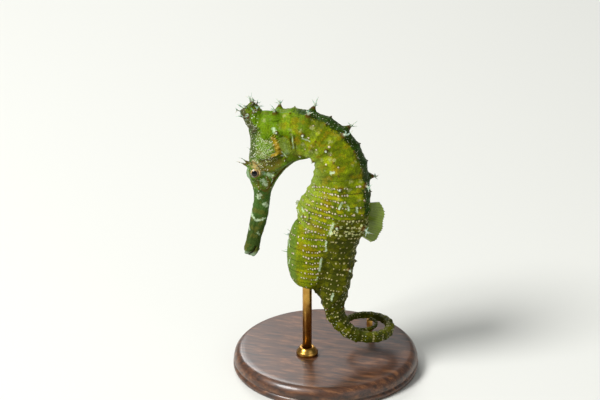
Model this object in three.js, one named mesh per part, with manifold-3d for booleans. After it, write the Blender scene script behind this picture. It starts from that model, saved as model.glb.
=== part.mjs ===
// Spiny seahorse, life size, as a still model on a plain display stand.
// Millimetres, +Z up. Origin: on the underside of the stand's base, below the front of the trunk.
// The animal's plane of symmetry, from snout to pouch, is y = 0. It faces -X and its left side faces -Y.
// The tail leaves that plane at its end, in a flat coil that turns round its own underside.
import * as THREE from "three";
import Module from "manifold-3d";
import { mergeVertices } from "three/addons/utils/BufferGeometryUtils.js";

const wasm = await Module();
wasm.setup();

// ---------------------------------------------------------------- driving dimensions
const GAP = 0.3; // clearance between neighbouring pieces
const TRUNK_RINGS = 11;
const FIRST_RING = -1.7; // where the first bony ring starts, behind the gills
const TRUNK_END = 35.2; // where the last trunk ring ends
const TAIL_RINGS = 36;
const LAST_TO_FIRST_RING = 0.35; // the tail's last ring against its first
const NECK_ROOT = 4; // how far the neck's line starts inside the head
const TAIL_BEND = 62; // where along the body the free tail turns into its coil
const GROOVE = 0.22; // depth of the grooves between bony rings
const FIN_THICKNESS = 0.6;
const EYE_RADIUS = 2.2;
const EYE_CENTRE = new THREE.Vector3(-13.8, -2.3, 55.1);
const BASE = { x: 2.5, y: 5, radius: 24, height: 5, edge: 0.8 };
const BODY_ROD = { x: -1.2, y: 0, radius: 1.2, foot: 2, top: 27.6 };
const TAIL_ROD = { x: 12, y: 14, radius: 0.8, foot: 2, top: 9.9 };

// ---------------------------------------------------------------- the body's line
const COIL = {
  x: 12, y: 8.2, z: 10.6, radius: 7.6, tighten: 3.6, turns: 1.45, steps: 18, drop: 1.1, lift: 0.9,
};

function coilPoint(turn) {
  const angle = 2 * Math.PI * turn - Math.PI / 2;
  const radius = COIL.radius - COIL.tighten * turn;
  const entering = Math.max(0, 1 - 5 * turn);
  return new THREE.Vector3(
    COIL.x + radius * Math.cos(angle),
    COIL.y + radius * Math.sin(angle),
    COIL.z + COIL.drop * entering * entering + COIL.lift * turn,
  );
}

// [x, z] of the line of vertebrae in the plane of symmetry, from inside the head to the free tail.
const SPINE = [
  [-11.9, 65.2], [-8, 66.3], [-3.1, 66.8], [1.6, 65.6], [5.1, 62.7], [7.3, 58.7], [8.1, 54.2],
  [8.1, 49.6], [7.6, 44.9], [7.0, 40.2], [6.9, 35.3], [6.9, 30.5], [6.5, 25.9], [5.8, 21.7],
  [5.9, 18], [7.4, 15.2], [9.6, 13],
];
const linePoints = SPINE.map(([x, z]) => new THREE.Vector3(x, 0, z));
for (let i = 0; i <= COIL.steps; i++) linePoints.push(coilPoint((COIL.turns * i) / COIL.steps));
const bodyLine = new THREE.CatmullRomCurve3(linePoints, false, "catmullrom", 0.5);
bodyLine.arcLengthDivisions = 3000;
const LINE_LENGTH = bodyLine.getLength();
const BODY_END = LINE_LENGTH - NECK_ROOT; // s is 0 at the back of the head, and grows towards the tail's tip

const smooth = THREE.MathUtils.smoothstep;

function frameAt(s) {
  const u = THREE.MathUtils.clamp((s + NECK_ROOT) / LINE_LENGTH, 0, 1);
  const centre = bodyLine.getPointAt(u);
  const along = bodyLine.getTangentAt(u);
  const fromSymmetry = new THREE.Vector3(-along.z, 0, along.x);
  const fromCoil = new THREE.Vector3(centre.x - COIL.x, centre.y - COIL.y, 0).normalize();
  const back = fromSymmetry.lerp(fromCoil, smooth(s, TAIL_BEND - 14, TAIL_BEND + 6));
  back.addScaledVector(along, -back.dot(along)).normalize();
  return { centre, along, back, side: back.clone().cross(along) };
}

// [s, depth to the back, depth to the belly, half width]
const GIRTH = [
  [-4, 4.6, 6.0, 3.2], [0, 5.4, 7.1, 3.6], [5, 5.4, 7.4, 4.1], [10, 5.5, 6.9, 4.6], [15, 6.2, 6.2, 5.0],
  [19.5, 6.6, 7.2, 5.4], [24, 6.8, 8.3, 5.7], [28.5, 7.1, 10.0, 6.0], [33, 7.3, 11.5, 6.0],
  [37, 6.6, 10.6, 5.5], [41, 5.2, 6.8, 4.6], [46, 4.4, 6.4, 4.0], [52, 3.7, 7.3, 3.9], [56, 3.2, 6.3, 3.4],
  [60, 2.4, 3.7, 2.7], [66, 1.9, 2.1, 1.95], [80, 1.35, 1.4, 1.4], [112, 0.5, 0.5, 0.5],
];

// A smooth curve through one column of a table whose first column rises.
function through(table, at, column) {
  let i = 0;
  while (i < table.length - 2 && at > table[i + 1][0]) i++;
  const slope = (a, b) => (table[b][column] - table[a][column]) / (table[b][0] - table[a][0]);
  const last = table.length - 1;
  const [from, to] = [table[i], table[i + 1]];
  const width = to[0] - from[0];
  const m0 = slope(Math.max(i - 1, 0), i + 1) * width;
  const m1 = slope(i, Math.min(i + 2, last)) * width;
  const t = THREE.MathUtils.clamp((at - from[0]) / width, 0, 1);
  const t2 = t * t;
  const t3 = t2 * t;
  return (2 * t3 - 3 * t2 + 1) * from[column] + (t3 - 2 * t2 + t) * m0
    + (3 * t2 - 2 * t3) * to[column] + (t3 - t2) * m1;
}

// ---------------------------------------------------------------- bony rings
const RING_TRUNK = (TRUNK_END - FIRST_RING) / TRUNK_RINGS;
const RING_TAIL = (2 * (BODY_END - TRUNK_END)) / (TAIL_RINGS * (1 + LAST_TO_FIRST_RING));

// Where ring n starts along the body; n may be a fraction. The trunk's rings are 0 to 10.
function ringStart(n) {
  if (n <= TRUNK_RINGS) return FIRST_RING + n * RING_TRUNK;
  const tail = n - TRUNK_RINGS;
  return TRUNK_END + RING_TAIL * (tail - ((1 - LAST_TO_FIRST_RING) * tail * tail) / (2 * TAIL_RINGS));
}

// The rings that carry long thorns, and how long every thorn is, from the trunk to the tail's tip.
const LONG_TRUNK_RINGS = [0, 2, 4, 7, 10];
function thornLength(ring, ridge) {
  if (ring < 0) return 0;
  const onTail = ring >= TRUNK_RINGS;
  const long = onTail ? (ring - TRUNK_RINGS) % 4 === 3 : LONG_TRUNK_RINGS.includes(ring);
  const taper = onTail ? 1 - (0.85 * (ring - TRUNK_RINGS)) / TAIL_RINGS : 1;
  const longReach = { superior: 2.1, lateral: 1.2, inferior: 1.0, keel: 0.4 };
  const shortReach = { superior: 0.9, lateral: 0.6, inferior: 0.5, keel: 0.4 };
  return (long ? longReach : shortReach)[ridge] * taper * (onTail ? 0.6 : 1);
}

// Fourteen places round the body, in degrees from the middle of the back, and the ridge that runs there.
const ROUND = [
  { trunk: 0, tail: 0 }, { trunk: 32, tail: 42, ridge: "superior" }, { trunk: 58, tail: 66 },
  { trunk: 86, tail: 90, ridge: "lateral", trunkOnly: true }, { trunk: 112, tail: 114 },
  { trunk: 138, tail: 138, ridge: "inferior" }, { trunk: 160, tail: 160 },
  { trunk: 180, tail: 180, ridge: "keel", trunkOnly: true },
];
const otherSide = (place) => ({ ...place, trunk: -place.trunk, tail: -place.tail });
const PLACES = [...ROUND, ...ROUND.slice(1, -1).reverse().map(otherSide)];

function bodyPoint(s, place, ring, phase, grow = 0) {
  const { centre, back, side } = frameAt(s);
  const onTail = smooth(s, TRUNK_END - 1, TRUNK_END + 8);
  const angle = THREE.MathUtils.degToRad(THREE.MathUtils.lerp(place.trunk, place.tail, onTail));
  const carries = place.ridge && !(place.trunkOnly && ring > TRUNK_RINGS + 1);
  const flat = carries ? 1 : 0.95;
  const depth = through(GIRTH, s, Math.cos(angle) > 0 ? 1 : 2);
  const out = new THREE.Vector3()
    .addScaledVector(back, Math.cos(angle) * depth * flat)
    .addScaledVector(side, Math.sin(angle) * through(GIRTH, s, 3) * flat);
  const thickness = Math.min(1, out.length() / 3);
  let rise = grow - (phase === 0 ? GROOVE * thickness : 0);
  if (carries && phase === 0.5) rise += thornLength(ring, place.ridge) * thickness;
  return centre.clone().add(out.setLength(out.length() + rise));
}

// A closed solid swept through rows of points: a cylinder whose vertices are moved row by row.
function swept(rows, sides, pointAt, centreAt) {
  const geometry = new THREE.CylinderGeometry(1, 1, rows, sides, rows);
  const position = geometry.attributes.position;
  for (let i = 0; i < position.count; i++) {
    const row = Math.round(rows / 2 - position.getY(i));
    const [x, z] = [position.getX(i), position.getZ(i)];
    const turn = Math.round((Math.atan2(x, z) / (2 * Math.PI)) * sides + sides) % sides;
    const point = Math.hypot(x, z) < 0.5 ? centreAt(row) : pointAt(row, turn);
    position.setXYZ(i, point.x, point.y, point.z);
  }
  return geometry;
}

// The stretch of body from ring a to ring b, as one solid, made thicker all round by grow.
function bodyStretch(a, b, grow = 0, trim = GAP / 2) {
  const phases = a < TRUNK_RINGS ? [0, 0.34, 0.5, 0.66] : [0, 0.5];
  const stations = [];
  for (let ring = a; ring < b; ring++) {
    for (const phase of phases) stations.push({ ring, phase, s: ringStart(ring + phase) });
  }
  stations.push({ ring: b, phase: 0, s: ringStart(b) });
  if (a === 0) stations.unshift({ ring: -1, phase: 0, s: -NECK_ROOT });
  stations[0].s += trim;
  stations[stations.length - 1].s -= trim;
  return swept(
    stations.length - 1,
    PLACES.length,
    (row, turn) => bodyPoint(stations[row].s, PLACES[turn], stations[row].ring, stations[row].phase, grow),
    (row) => frameAt(stations[row].s).centre,
  );
}

// ---------------------------------------------------------------- head and snout
// [station, forehead x, z, throat x, z, half width], from the mouth to the nape. They fan round the throat.
const HEAD = [
  [0, -17.6, 32.0, -14.6, 31.4, 1.35], [0.35, -17.8, 33.0, -13.9, 32.9, 1.75],
  [1, -17.1, 36.0, -13.3, 36.1, 1.55], [2, -16.0, 42.0, -11.6, 42.0, 1.65],
  [3, -15.0, 47.4, -10.8, 47.8, 1.9], [4, -15.4, 50.4, -9.9, 50.9, 2.9],
  [5, -16.9, 54.0, -7.8, 54.5, 3.5], [6, -16.7, 57.8, -5.3, 57.3, 3.9], [7, -16.3, 62.1, -3.1, 58.7, 4.2],
  [8, -16.6, 66.4, -1.6, 59.1, 4.1], [9, -13.4, 70.3, -0.8, 59.4, 3.9], [10, -10.3, 70.9, -0.9, 59.7, 3.7],
];
const MOUTH_END = 0.8;
const SNOUT_END = 3;
const HEAD_END = 10;

function headPoint(station, angle, grow = 0) {
  const [fx, fz, tx, tz, width] = [1, 2, 3, 4, 5].map((column) => through(HEAD, station, column));
  const middle = new THREE.Vector3((fx + tx) / 2, 0, (fz + tz) / 2);
  const toForehead = new THREE.Vector3(fx, 0, fz).sub(middle);
  const out = toForehead.multiplyScalar(Math.cos(angle));
  out.y = width * Math.sin(angle);
  return { middle, point: middle.clone().add(out.setLength(out.length() + grow)) };
}

function headStretch(from, to, rows, grow = 0) {
  const sides = 16;
  const station = (row) => from + ((to - from) * row) / rows;
  return swept(
    rows,
    sides,
    (row, turn) => headPoint(station(row), (turn * 2 * Math.PI) / sides, grow).point,
    (row) => headPoint(station(row), 0).middle,
  );
}

// ---------------------------------------------------------------- solids
function solidOf(geometry) {
  const bare = geometry.clone();
  bare.deleteAttribute("normal");
  bare.deleteAttribute("uv");
  const merged = mergeVertices(bare, 1e-4);
  const vertProperties = merged.attributes.position.array;
  const triVerts = new Uint32Array(merged.index.array);
  const solid = new wasm.Manifold(new wasm.Mesh({ numProp: 3, vertProperties, triVerts }));
  if (solid.volume() > 0) return solid;
  return new wasm.Manifold(new wasm.Mesh({ numProp: 3, vertProperties, triVerts: triVerts.reverse() }));
}

function geometryOf(solid) {
  const { numProp, vertProperties, triVerts } = solid.getMesh();
  const count = vertProperties.length / numProp;
  const position = new Float32Array(count * 3);
  for (let i = 0; i < count; i++) position.set(vertProperties.subarray(i * numProp, i * numProp + 3), i * 3);
  const geometry = new THREE.BufferGeometry();
  geometry.setAttribute("position", new THREE.BufferAttribute(position, 3));
  geometry.setIndex(new THREE.BufferAttribute(triVerts, 1));
  geometry.computeVertexNormals();
  return geometry;
}

// The largest body of a solid, so that a cut leaves no crumbs.
function mainBody(solid) {
  return solid.decompose().reduce((a, b) => (b.volume() > a.volume() ? b : a));
}

function cut(solid, ...tools) {
  return mainBody(tools.reduce((rest, tool) => rest.subtract(tool), solid));
}

function thorn(from, towards, length, radius, sides = 6) {
  const cone = new THREE.ConeGeometry(radius, length, sides);
  cone.translate(0, length / 2, 0);
  const up = new THREE.Vector3(0, 1, 0);
  cone.applyQuaternion(new THREE.Quaternion().setFromUnitVectors(up, towards.clone().normalize()));
  cone.translate(from.x, from.y, from.z);
  return solidOf(cone);
}

function upright(radius, height, sides = 20) {
  const cylinder = new THREE.CylinderGeometry(radius, radius, height, sides);
  return cylinder.rotateX(Math.PI / 2).translate(0, 0, height / 2);
}

function rod({ x, y, radius, foot, top }, grow = 0) {
  return solidOf(upright(radius + grow, top - foot + 2 * grow).translate(x, y, foot - grow));
}

const other = (point, sign) => new THREE.Vector3(point.x, point.y * sign, point.z);

// ---------------------------------------------------------------- materials
const skin = new THREE.MeshStandardMaterial({ color: 0x8a8f1e, roughness: 0.55 });
const darkSkin = new THREE.MeshStandardMaterial({ color: 0x5f5a12, roughness: 0.55 });
const snoutSkin = new THREE.MeshStandardMaterial({ color: 0x55602a, roughness: 0.5 });
const finMaterial = new THREE.MeshStandardMaterial({
  color: 0xa7b37a, roughness: 0.35, transparent: true, opacity: 0.6,
});
const eyeMaterial = new THREE.MeshStandardMaterial({ color: 0x14120c, roughness: 0.08 });
const wood = new THREE.MeshStandardMaterial({ color: 0x3a2417, roughness: 0.4 });
const brass = new THREE.MeshStandardMaterial({ color: 0xb08a45, roughness: 0.3, metalness: 1 });

const seahorse = new THREE.Group();
function add(name, solidOrGeometry, material) {
  const geometry = solidOrGeometry.isBufferGeometry ? solidOrGeometry : geometryOf(solidOrGeometry);
  const mesh = new THREE.Mesh(geometry, material);
  mesh.name = name;
  seahorse.add(mesh);
}

// ---------------------------------------------------------------- head, snout, eyes, crown
const eyes = [1, -1].map((sign) => other(EYE_CENTRE, sign));
const eyeBall = (centre, grow = 0) =>
  solidOf(new THREE.SphereGeometry(EYE_RADIUS + grow, 20, 12).translate(centre.x, centre.y, centre.z));

const at = (x, y, z) => new THREE.Vector3(x, y, z);
const NOSE_THORN = { from: at(-16.2, 0, 55.6), towards: at(-1, 0, 0.35), length: 3.0, radius: 0.7 };
const BROW_THORN = { from: at(-15.2, -2.6, 57.2), towards: at(-0.8, -0.35, 0.62), length: 3.2, radius: 0.8 };
const CHEEK_THORN = { from: at(-9.0, -2.9, 54.9), towards: at(-0.15, -1, -0.75), length: 1.9, radius: 0.7 };
const GILL_THORN = { from: at(-6.2, -3.2, 59.8), towards: at(0.3, -1, 0.1), length: 1.9, radius: 0.7 };
const headThorn = ({ from, towards, length, radius }, sign) =>
  thorn(other(from, sign), other(towards, sign), length, radius);
const headThorns = [
  headThorn(NOSE_THORN, 1),
  ...[BROW_THORN, CHEEK_THORN, GILL_THORN].flatMap((one) => [headThorn(one, 1), headThorn(one, -1)]),
];
const headCore = solidOf(headStretch(SNOUT_END + 0.06, HEAD_END, 14));
const head = headThorns.reduce((whole, piece) => whole.add(piece), headCore);
const headGrown = solidOf(headStretch(SNOUT_END, HEAD_END + 0.04, 14, GAP));

// The crown: a short tapered stalk with five splayed points.
const CROWN = { foot: new THREE.Vector3(-12.9, 0, 66.6), up: new THREE.Vector3(-0.6, 0, 0.8), height: 4.4 };
function crown() {
  const up = CROWN.up.clone().normalize();
  const stalk = new THREE.CylinderGeometry(2.3, 2.9, CROWN.height, 10).translate(0, CROWN.height / 2, 0);
  stalk.applyQuaternion(new THREE.Quaternion().setFromUnitVectors(new THREE.Vector3(0, 1, 0), up));
  stalk.translate(CROWN.foot.x, CROWN.foot.y, CROWN.foot.z);
  const ahead = new THREE.Vector3(up.z, 0, -up.x).negate();
  const across = new THREE.Vector3(0, 1, 0);
  let whole = solidOf(stalk);
  for (let point = 0; point < 5; point++) {
    const angle = (2 * Math.PI * point) / 5 + Math.PI;
    const outward = ahead.clone().multiplyScalar(Math.cos(angle)).addScaledVector(across, Math.sin(angle));
    const from = CROWN.foot.clone().addScaledVector(up, CROWN.height - 1.4).addScaledVector(outward, 1.1);
    whole = whole.add(thorn(from, outward.clone().addScaledVector(up, 1.3), 2.6, 1.0));
  }
  return whole;
}

const neck = cut(solidOf(bodyStretch(0, 2)), headGrown);
const neckGrown = solidOf(bodyStretch(0, 2, GAP, -GAP));

add("mouth", headStretch(0, MOUTH_END - 0.05, 5), snoutSkin);
add("snout", headStretch(MOUTH_END + 0.05, SNOUT_END, 8), snoutSkin);
add("head", cut(head, ...eyes.map((eye) => eyeBall(eye, GAP))), skin);
add("coronet", cut(crown(), headGrown, neckGrown), skin);
add("eye_left", eyeBall(eyes[0]), eyeMaterial);
add("eye_right", eyeBall(eyes[1]), eyeMaterial);

// ---------------------------------------------------------------- neck, trunk, pouch, tail
const TRUNK_PIECES = { trunk_upper: [2, 5], trunk_middle: [5, 8], trunk_lower: [8, 11] };
const TAIL_CUTS = [11, 14, 17, 21, 26, 32, 39, 47];

const rods = [rod(BODY_ROD, GAP), rod(TAIL_ROD, GAP)];
add("neck", neck, skin);
for (const [name, [from, to]] of Object.entries(TRUNK_PIECES)) {
  add(name, cut(solidOf(bodyStretch(from, to)), headGrown), skin);
}

// A bag with a nearly straight front: a ball whose rows are drawn out towards its widest one.
const POUCH = { x: 0.1, z: 34.0, depth: 6.5, width: 5.1, height: 9.6, straight: 0.5, lean: 0.05 };
function pouchForm(grow = 0) {
  const ball = new THREE.SphereGeometry(1, 24, 16).rotateX(Math.PI / 2);
  const position = ball.attributes.position;
  for (let i = 0; i < position.count; i++) {
    const [x, y, z] = [position.getX(i), position.getY(i), position.getZ(i)];
    const spread = Math.hypot(x, y) > 1e-6 ? Math.hypot(x, y) ** (POUCH.straight - 1) : 0;
    position.setXYZ(i, x * spread, y * spread, z);
  }
  return ball.scale(POUCH.depth + grow, POUCH.width + grow, POUCH.height + grow)
    .rotateY(POUCH.lean)
    .translate(POUCH.x, 0, POUCH.z);
}
const behindPouch = [
  solidOf(bodyStretch(8, 11, GAP, -GAP)),
  solidOf(bodyStretch(11, 14, GAP, -GAP)),
  solidOf(bodyStretch(14, 17, GAP, -GAP)),
  solidOf(bodyStretch(17, 21, GAP, -GAP)),
];
add("brood_pouch", cut(solidOf(pouchForm()), ...behindPouch, rods[0]), skin);

for (let i = 0; i < TAIL_CUTS.length - 1; i++) {
  const stretch = solidOf(bodyStretch(TAIL_CUTS[i], TAIL_CUTS[i + 1]));
  add(`tail_${i + 1}`, cut(stretch, ...rods), i < 4 ? darkSkin : skin);
}

// ---------------------------------------------------------------- fins
// A fan in the x-y plane: its base runs along y, centred on the origin, and its rays spread towards +x.
function fan(baseWidth, outerWidth, length, steps = 10) {
  const outline = new THREE.Shape();
  outline.moveTo(-0.8, -baseWidth / 2);
  for (let i = 0; i <= steps; i++) {
    const across = (2 * i) / steps - 1;
    outline.lineTo(length * (1 - 0.28 * across * across), (across * outerWidth) / 2);
  }
  outline.lineTo(-0.8, baseWidth / 2);
  outline.closePath();
  return new THREE.ExtrudeGeometry(outline, { depth: FIN_THICKNESS, bevelEnabled: false })
    .translate(0, 0, -FIN_THICKNESS / 2);
}

const DORSAL = { from: 9.0, to: 11.8, height: 5.0, outer: 11.2 };
const dorsalStart = frameAt(ringStart(DORSAL.from));
const dorsalEnd = frameAt(ringStart(DORSAL.to));
const onBack = (frame, s) => frame.centre.clone().addScaledVector(frame.back, through(GIRTH, s, 1) - 0.3);
const dorsalA = onBack(dorsalStart, ringStart(DORSAL.from));
const dorsalB = onBack(dorsalEnd, ringStart(DORSAL.to));
const dorsalFin = fan(dorsalA.distanceTo(dorsalB), DORSAL.outer, DORSAL.height).rotateX(Math.PI / 2);
dorsalFin.rotateY(Math.atan2(dorsalA.x - dorsalB.x, dorsalA.z - dorsalB.z));
dorsalFin.translate((dorsalA.x + dorsalB.x) / 2, 0, (dorsalA.z + dorsalB.z) / 2);
add("dorsal_fin", cut(solidOf(dorsalFin), behindPouch[0], behindPouch[1]), finMaterial);

const PECTORAL = { x: -6.9, y: 4.2, z: 64.2, base: 3.0, outer: 4.8, length: 4.6, flare: 0.42, droop: 0.12 };
const behindFin = [headGrown, neckGrown, solidOf(bodyStretch(2, 5, GAP, -GAP))];
[["left", -1], ["right", 1]].forEach(([name, sign]) => {
  const fin = fan(PECTORAL.base, PECTORAL.outer, PECTORAL.length)
    .rotateX(Math.PI / 2)
    .rotateY(PECTORAL.droop)
    .rotateZ(sign * PECTORAL.flare)
    .translate(PECTORAL.x, sign * PECTORAL.y, PECTORAL.z);
  add(`pectoral_fin_${name}`, cut(solidOf(fin), ...behindFin), finMaterial);
});

const ANAL = { ring: 10.1, base: 0.9, outer: 1.3, length: 1.5 };
const analAt = frameAt(ringStart(ANAL.ring));
const analRoot = analAt.centre.clone()
  .addScaledVector(analAt.back, -through(GIRTH, ringStart(ANAL.ring), 2) + 0.1);
const analFin = fan(ANAL.base, ANAL.outer, ANAL.length).rotateX(Math.PI / 2).rotateY(Math.PI - 0.35);
analFin.translate(analRoot.x, 0, analRoot.z);
add("anal_fin", cut(solidOf(analFin), behindPouch[0], behindPouch[1], solidOf(pouchForm(GAP))), finMaterial);

// ---------------------------------------------------------------- display stand
const baseOutline = [
  [0, 0], [BASE.radius - BASE.edge, 0], [BASE.radius, BASE.edge], [BASE.radius, BASE.height - BASE.edge],
  [BASE.radius - BASE.edge, BASE.height], [0, BASE.height],
].map(([r, z]) => new THREE.Vector2(r, z));
const basePlate = solidOf(
  new THREE.LatheGeometry(baseOutline, 64).rotateX(Math.PI / 2).translate(BASE.x, BASE.y, 0),
);
add("stand_base", cut(basePlate, ...rods), wood);
add("stand_rod_body", rod(BODY_ROD), brass);
add("stand_rod_tail", rod(TAIL_ROD), brass);

const COLLAR = { inner: 1.5, outer: 2.8, height: 1.8 };
const collarBore = solidOf(upright(COLLAR.inner, COLLAR.height + 2, 28).translate(0, 0, -1));
const collar = solidOf(upright(COLLAR.outer, COLLAR.height, 28)).subtract(collarBore);
add("stand_collar", collar.translate([BODY_ROD.x, BODY_ROD.y, BASE.height + GAP]), brass);

export default seahorse;
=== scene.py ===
# A male spiny seahorse, life size, as a still museum model: head bent down, pouch in front, end of the
# tail coiled. It is held over a turned wooden base by a brass rod into the pouch and a thin one under the
# coil. Metres, +Z up; the animal faces -X and its left side faces -Y.
import math
import bpy
import bmesh
import numpy as np
from mathutils import Matrix, Vector, noise
from mathutils.kdtree import KDTree


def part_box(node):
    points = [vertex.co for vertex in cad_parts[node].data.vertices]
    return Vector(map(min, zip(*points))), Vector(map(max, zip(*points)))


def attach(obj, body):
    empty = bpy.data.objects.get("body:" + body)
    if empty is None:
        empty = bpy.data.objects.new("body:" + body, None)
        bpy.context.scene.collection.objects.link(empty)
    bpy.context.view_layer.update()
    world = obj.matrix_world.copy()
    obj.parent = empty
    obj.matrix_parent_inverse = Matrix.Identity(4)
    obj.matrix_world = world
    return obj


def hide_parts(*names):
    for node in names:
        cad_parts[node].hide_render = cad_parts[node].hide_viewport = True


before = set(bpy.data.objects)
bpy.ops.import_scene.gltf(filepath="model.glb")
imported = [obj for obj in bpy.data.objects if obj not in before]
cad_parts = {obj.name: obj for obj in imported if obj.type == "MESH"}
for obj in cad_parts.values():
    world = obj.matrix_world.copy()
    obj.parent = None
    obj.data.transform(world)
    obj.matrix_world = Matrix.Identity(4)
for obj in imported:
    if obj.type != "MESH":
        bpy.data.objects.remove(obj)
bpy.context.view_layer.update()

# ------------------------------------------------------------------------------------------ wooden base
# A round walnut base, turned on a lathe and sanded, with a small bead above its foot. Thin satin varnish.
base_low, base_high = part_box("stand_base")
BASE_CENTRE = (base_low + base_high) / 2
BASE_RADIUS = (base_high.x - base_low.x) / 2
BASE_HEIGHT = base_high.z
BEAD = [(0.0008, 0), (0.0002, 0.0002), (0, 0.0007), (0, 0.0013), (0.0004, 0.0016), (0.0005, 0.0018)]
EDGE_SET_IN, EDGE_WIDE, EDGE_HIGH = 0.0022, 0.0021, 0.0028
EDGE_STEPS = 12


def paint(hex_code):
    """The linear colour of an sRGB hex value."""
    parts = [int(hex_code[i:i + 2], 16) / 255 for i in (1, 3, 5)]
    return tuple(p / 12.92 if p <= 0.04045 else ((p + 0.055) / 1.055) ** 2.4 for p in parts) + (1.0,)


def add_node(tree, kind, settings):
    """Adds a node. A setting is its own, or fills a socket with a value or with another node's output."""
    made = tree.nodes.new("ShaderNode" + kind)
    for key, value in settings.items():
        if isinstance(value, bpy.types.Node):
            value = next(out for out in value.outputs if out.enabled)
        if isinstance(value, bpy.types.NodeSocket):
            tree.links.new(value, made.inputs[key])
        elif isinstance(key, str) and hasattr(made, key):
            setattr(made, key, value)
        else:
            made.inputs[key].default_value = value
    return made


def paint_over(tree, colour, coats):
    """Lays coats of colour over one another: each has its mask, where on it the coat starts and is full, its
    strength and its colour."""
    for mask, start, full, strength, hex_code in coats:
        cover = add_node(tree, "MapRange", {"interpolation_type": "SMOOTHSTEP", "Value": mask,
                                            "From Min": start, "From Max": full, "To Max": strength})
        colour = add_node(tree, "Mix", {"data_type": "RGBA", 0: cover, 6: colour, 7: paint(hex_code)})
    return colour


def bare_material(name):
    """A new material and its node tree, with nothing in it."""
    material = bpy.data.materials.new(name)
    material.use_nodes = True
    material.node_tree.nodes.clear()
    return material, material.node_tree


def mesh_from(bm, name):
    """The bmesh as a mesh. The bmesh is used up."""
    mesh = bpy.data.meshes.new(name)
    bm.to_mesh(mesh)
    bm.free()
    return mesh


def put_in_scene(name, data):
    """An object with that mesh, lamp or camera, in the scene."""
    made = bpy.data.objects.new(name, data)
    bpy.context.scene.collection.objects.link(made)
    return made


def complete(piece, material, slot, *nodes):
    """Gives the piece its material. It rides on the model and stands for its CAD nodes; slot is not used."""
    for face in piece.data.polygons:
        face.use_smooth = True
    piece.data.materials.append(material)
    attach(piece, "root")
    if nodes:
        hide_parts(*nodes)


def piece_from(bm, name, material, slot, *nodes):
    """The bmesh as a finished piece."""
    made = put_in_scene(name, mesh_from(bm, name))
    complete(made, material, slot, *nodes)
    return made


def turned(profile, centre, steps):
    """A solid turned on a lathe: the profile of (radius, height) points spun once round the centre."""
    bm = bmesh.new()
    points = [bm.verts.new((centre[0] + radius, centre[1], height)) for radius, height in profile]
    edges = [bm.edges.new(pair) for pair in zip(points, points[1:])]
    bmesh.ops.spin(bm, geom=points + edges, cent=(centre[0], centre[1], 0), axis=(0, 0, 1),
                   angle=2 * math.pi, steps=steps, use_merge=True)
    bmesh.ops.remove_doubles(bm, verts=bm.verts, dist=1e-7)
    bmesh.ops.recalc_face_normals(bm, faces=bm.faces)
    return bm


base_profile = [(0, 0)] + [(BASE_RADIUS - inward, up) for inward, up in BEAD]
for step in range(EDGE_STEPS + 1):
    swing = math.pi / 2 * step / EDGE_STEPS
    base_profile.append((BASE_RADIUS - EDGE_SET_IN + EDGE_WIDE * math.cos(swing),
                         BASE_HEIGHT - EDGE_HIGH + EDGE_HIGH * math.sin(swing)))
base_profile += [(BASE_RADIUS - 0.0034, BASE_HEIGHT), (BASE_RADIUS - 0.012, BASE_HEIGHT), (0, BASE_HEIGHT)]

# Walnut, lathe-turned and varnished: dark brown with long wavy grain that runs across the round top.
walnut, tree = bare_material("satin_varnished_walnut")
where = add_node(tree, "TexCoord", {}).outputs["Object"]
plank = add_node(tree, "Mapping", {"Vector": where, "Rotation": (0, 0.22, 0.5), "Scale": (260, 1500, 1500)})
bend = add_node(tree, "TexNoise", {"Vector": where, "Scale": 90, "Detail": 3})
bent = add_node(tree, "VectorMath", {
    "operation": "MULTIPLY_ADD", 0: bend.outputs["Color"], 1: (1.6, 3.2, 1.6), 2: plank})
grain = add_node(tree, "TexNoise", {"Vector": bent, "Scale": 0.55, "Detail": 5, "Roughness": 0.62})
pores = add_node(tree, "TexNoise", {"Vector": bent, "Scale": 2.4, "Detail": 2})
wood_colour = paint_over(tree, paint("#2d1b10"), [
    (grain, 0.34, 0.52, 1.0, "#4f2f1b"), (grain, 0.5, 0.7, 1.0, "#7a4f2e"),
    (pores, 0.6, 0.72, 0.55, "#1b0f09")])
wood_bump = add_node(tree, "Bump", {"Height": grain, "Strength": 0.12, "Distance": 0.0001})
varnish = add_node(tree, "BsdfPrincipled", {"Base Color": wood_colour, "Normal": wood_bump, "Roughness": 0.42,
                                            "IOR": 1.5, "Coat Weight": 0.35, "Coat Roughness": 0.16})
add_node(tree, "OutputMaterial", {"Surface": varnish})

piece_from(turned(base_profile, BASE_CENTRE, 144), "walnut_base", walnut, "base_wood", "stand_base")

# ------------------------------------------------------------------------------------ brass rods, collar
# Two drawn brass rods, glued into blind holes in the wood, and a small turned collar round the thick one.
rod_low, rod_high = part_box("stand_rod_body")
ROD_CENTRE = (rod_low + rod_high) / 2
ROD_RADIUS = (rod_high.x - rod_low.x) / 2
collar_low, collar_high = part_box("stand_collar")
COLLAR_RADIUS = (collar_high.x - collar_low.x) / 2
COLLAR_PLAY = 0.00005
COLLAR_SUNK = 0.0003

# Brass, drawn then brushed and lacquered: warm yellow metal with fine lines round it.
brass, tree = bare_material("brushed_lacquered_brass")
where = add_node(tree, "TexCoord", {}).outputs["Object"]
drawn = add_node(tree, "Mapping", {"Vector": where, "Scale": (1800, 1800, 9000)})
lines = add_node(tree, "TexNoise", {"Vector": drawn, "Scale": 1.0, "Detail": 3})
tarnish = add_node(tree, "TexNoise", {"Vector": where, "Scale": 420, "Detail": 3})
brass_colour = paint_over(tree, paint("#c69a4c"), [(tarnish, 0.35, 0.65, 1.0, "#a87a38")])
rough = add_node(tree, "MapRange", {"Value": lines, "To Min": 0.2, "To Max": 0.38})
brass_bump = add_node(tree, "Bump", {"Height": lines, "Strength": 0.1, "Distance": 0.00004})
metal = add_node(tree, "BsdfPrincipled", {
    "Base Color": brass_colour, "Roughness": rough, "Normal": brass_bump, "Metallic": 1.0})
add_node(tree, "OutputMaterial", {"Surface": metal})

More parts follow.
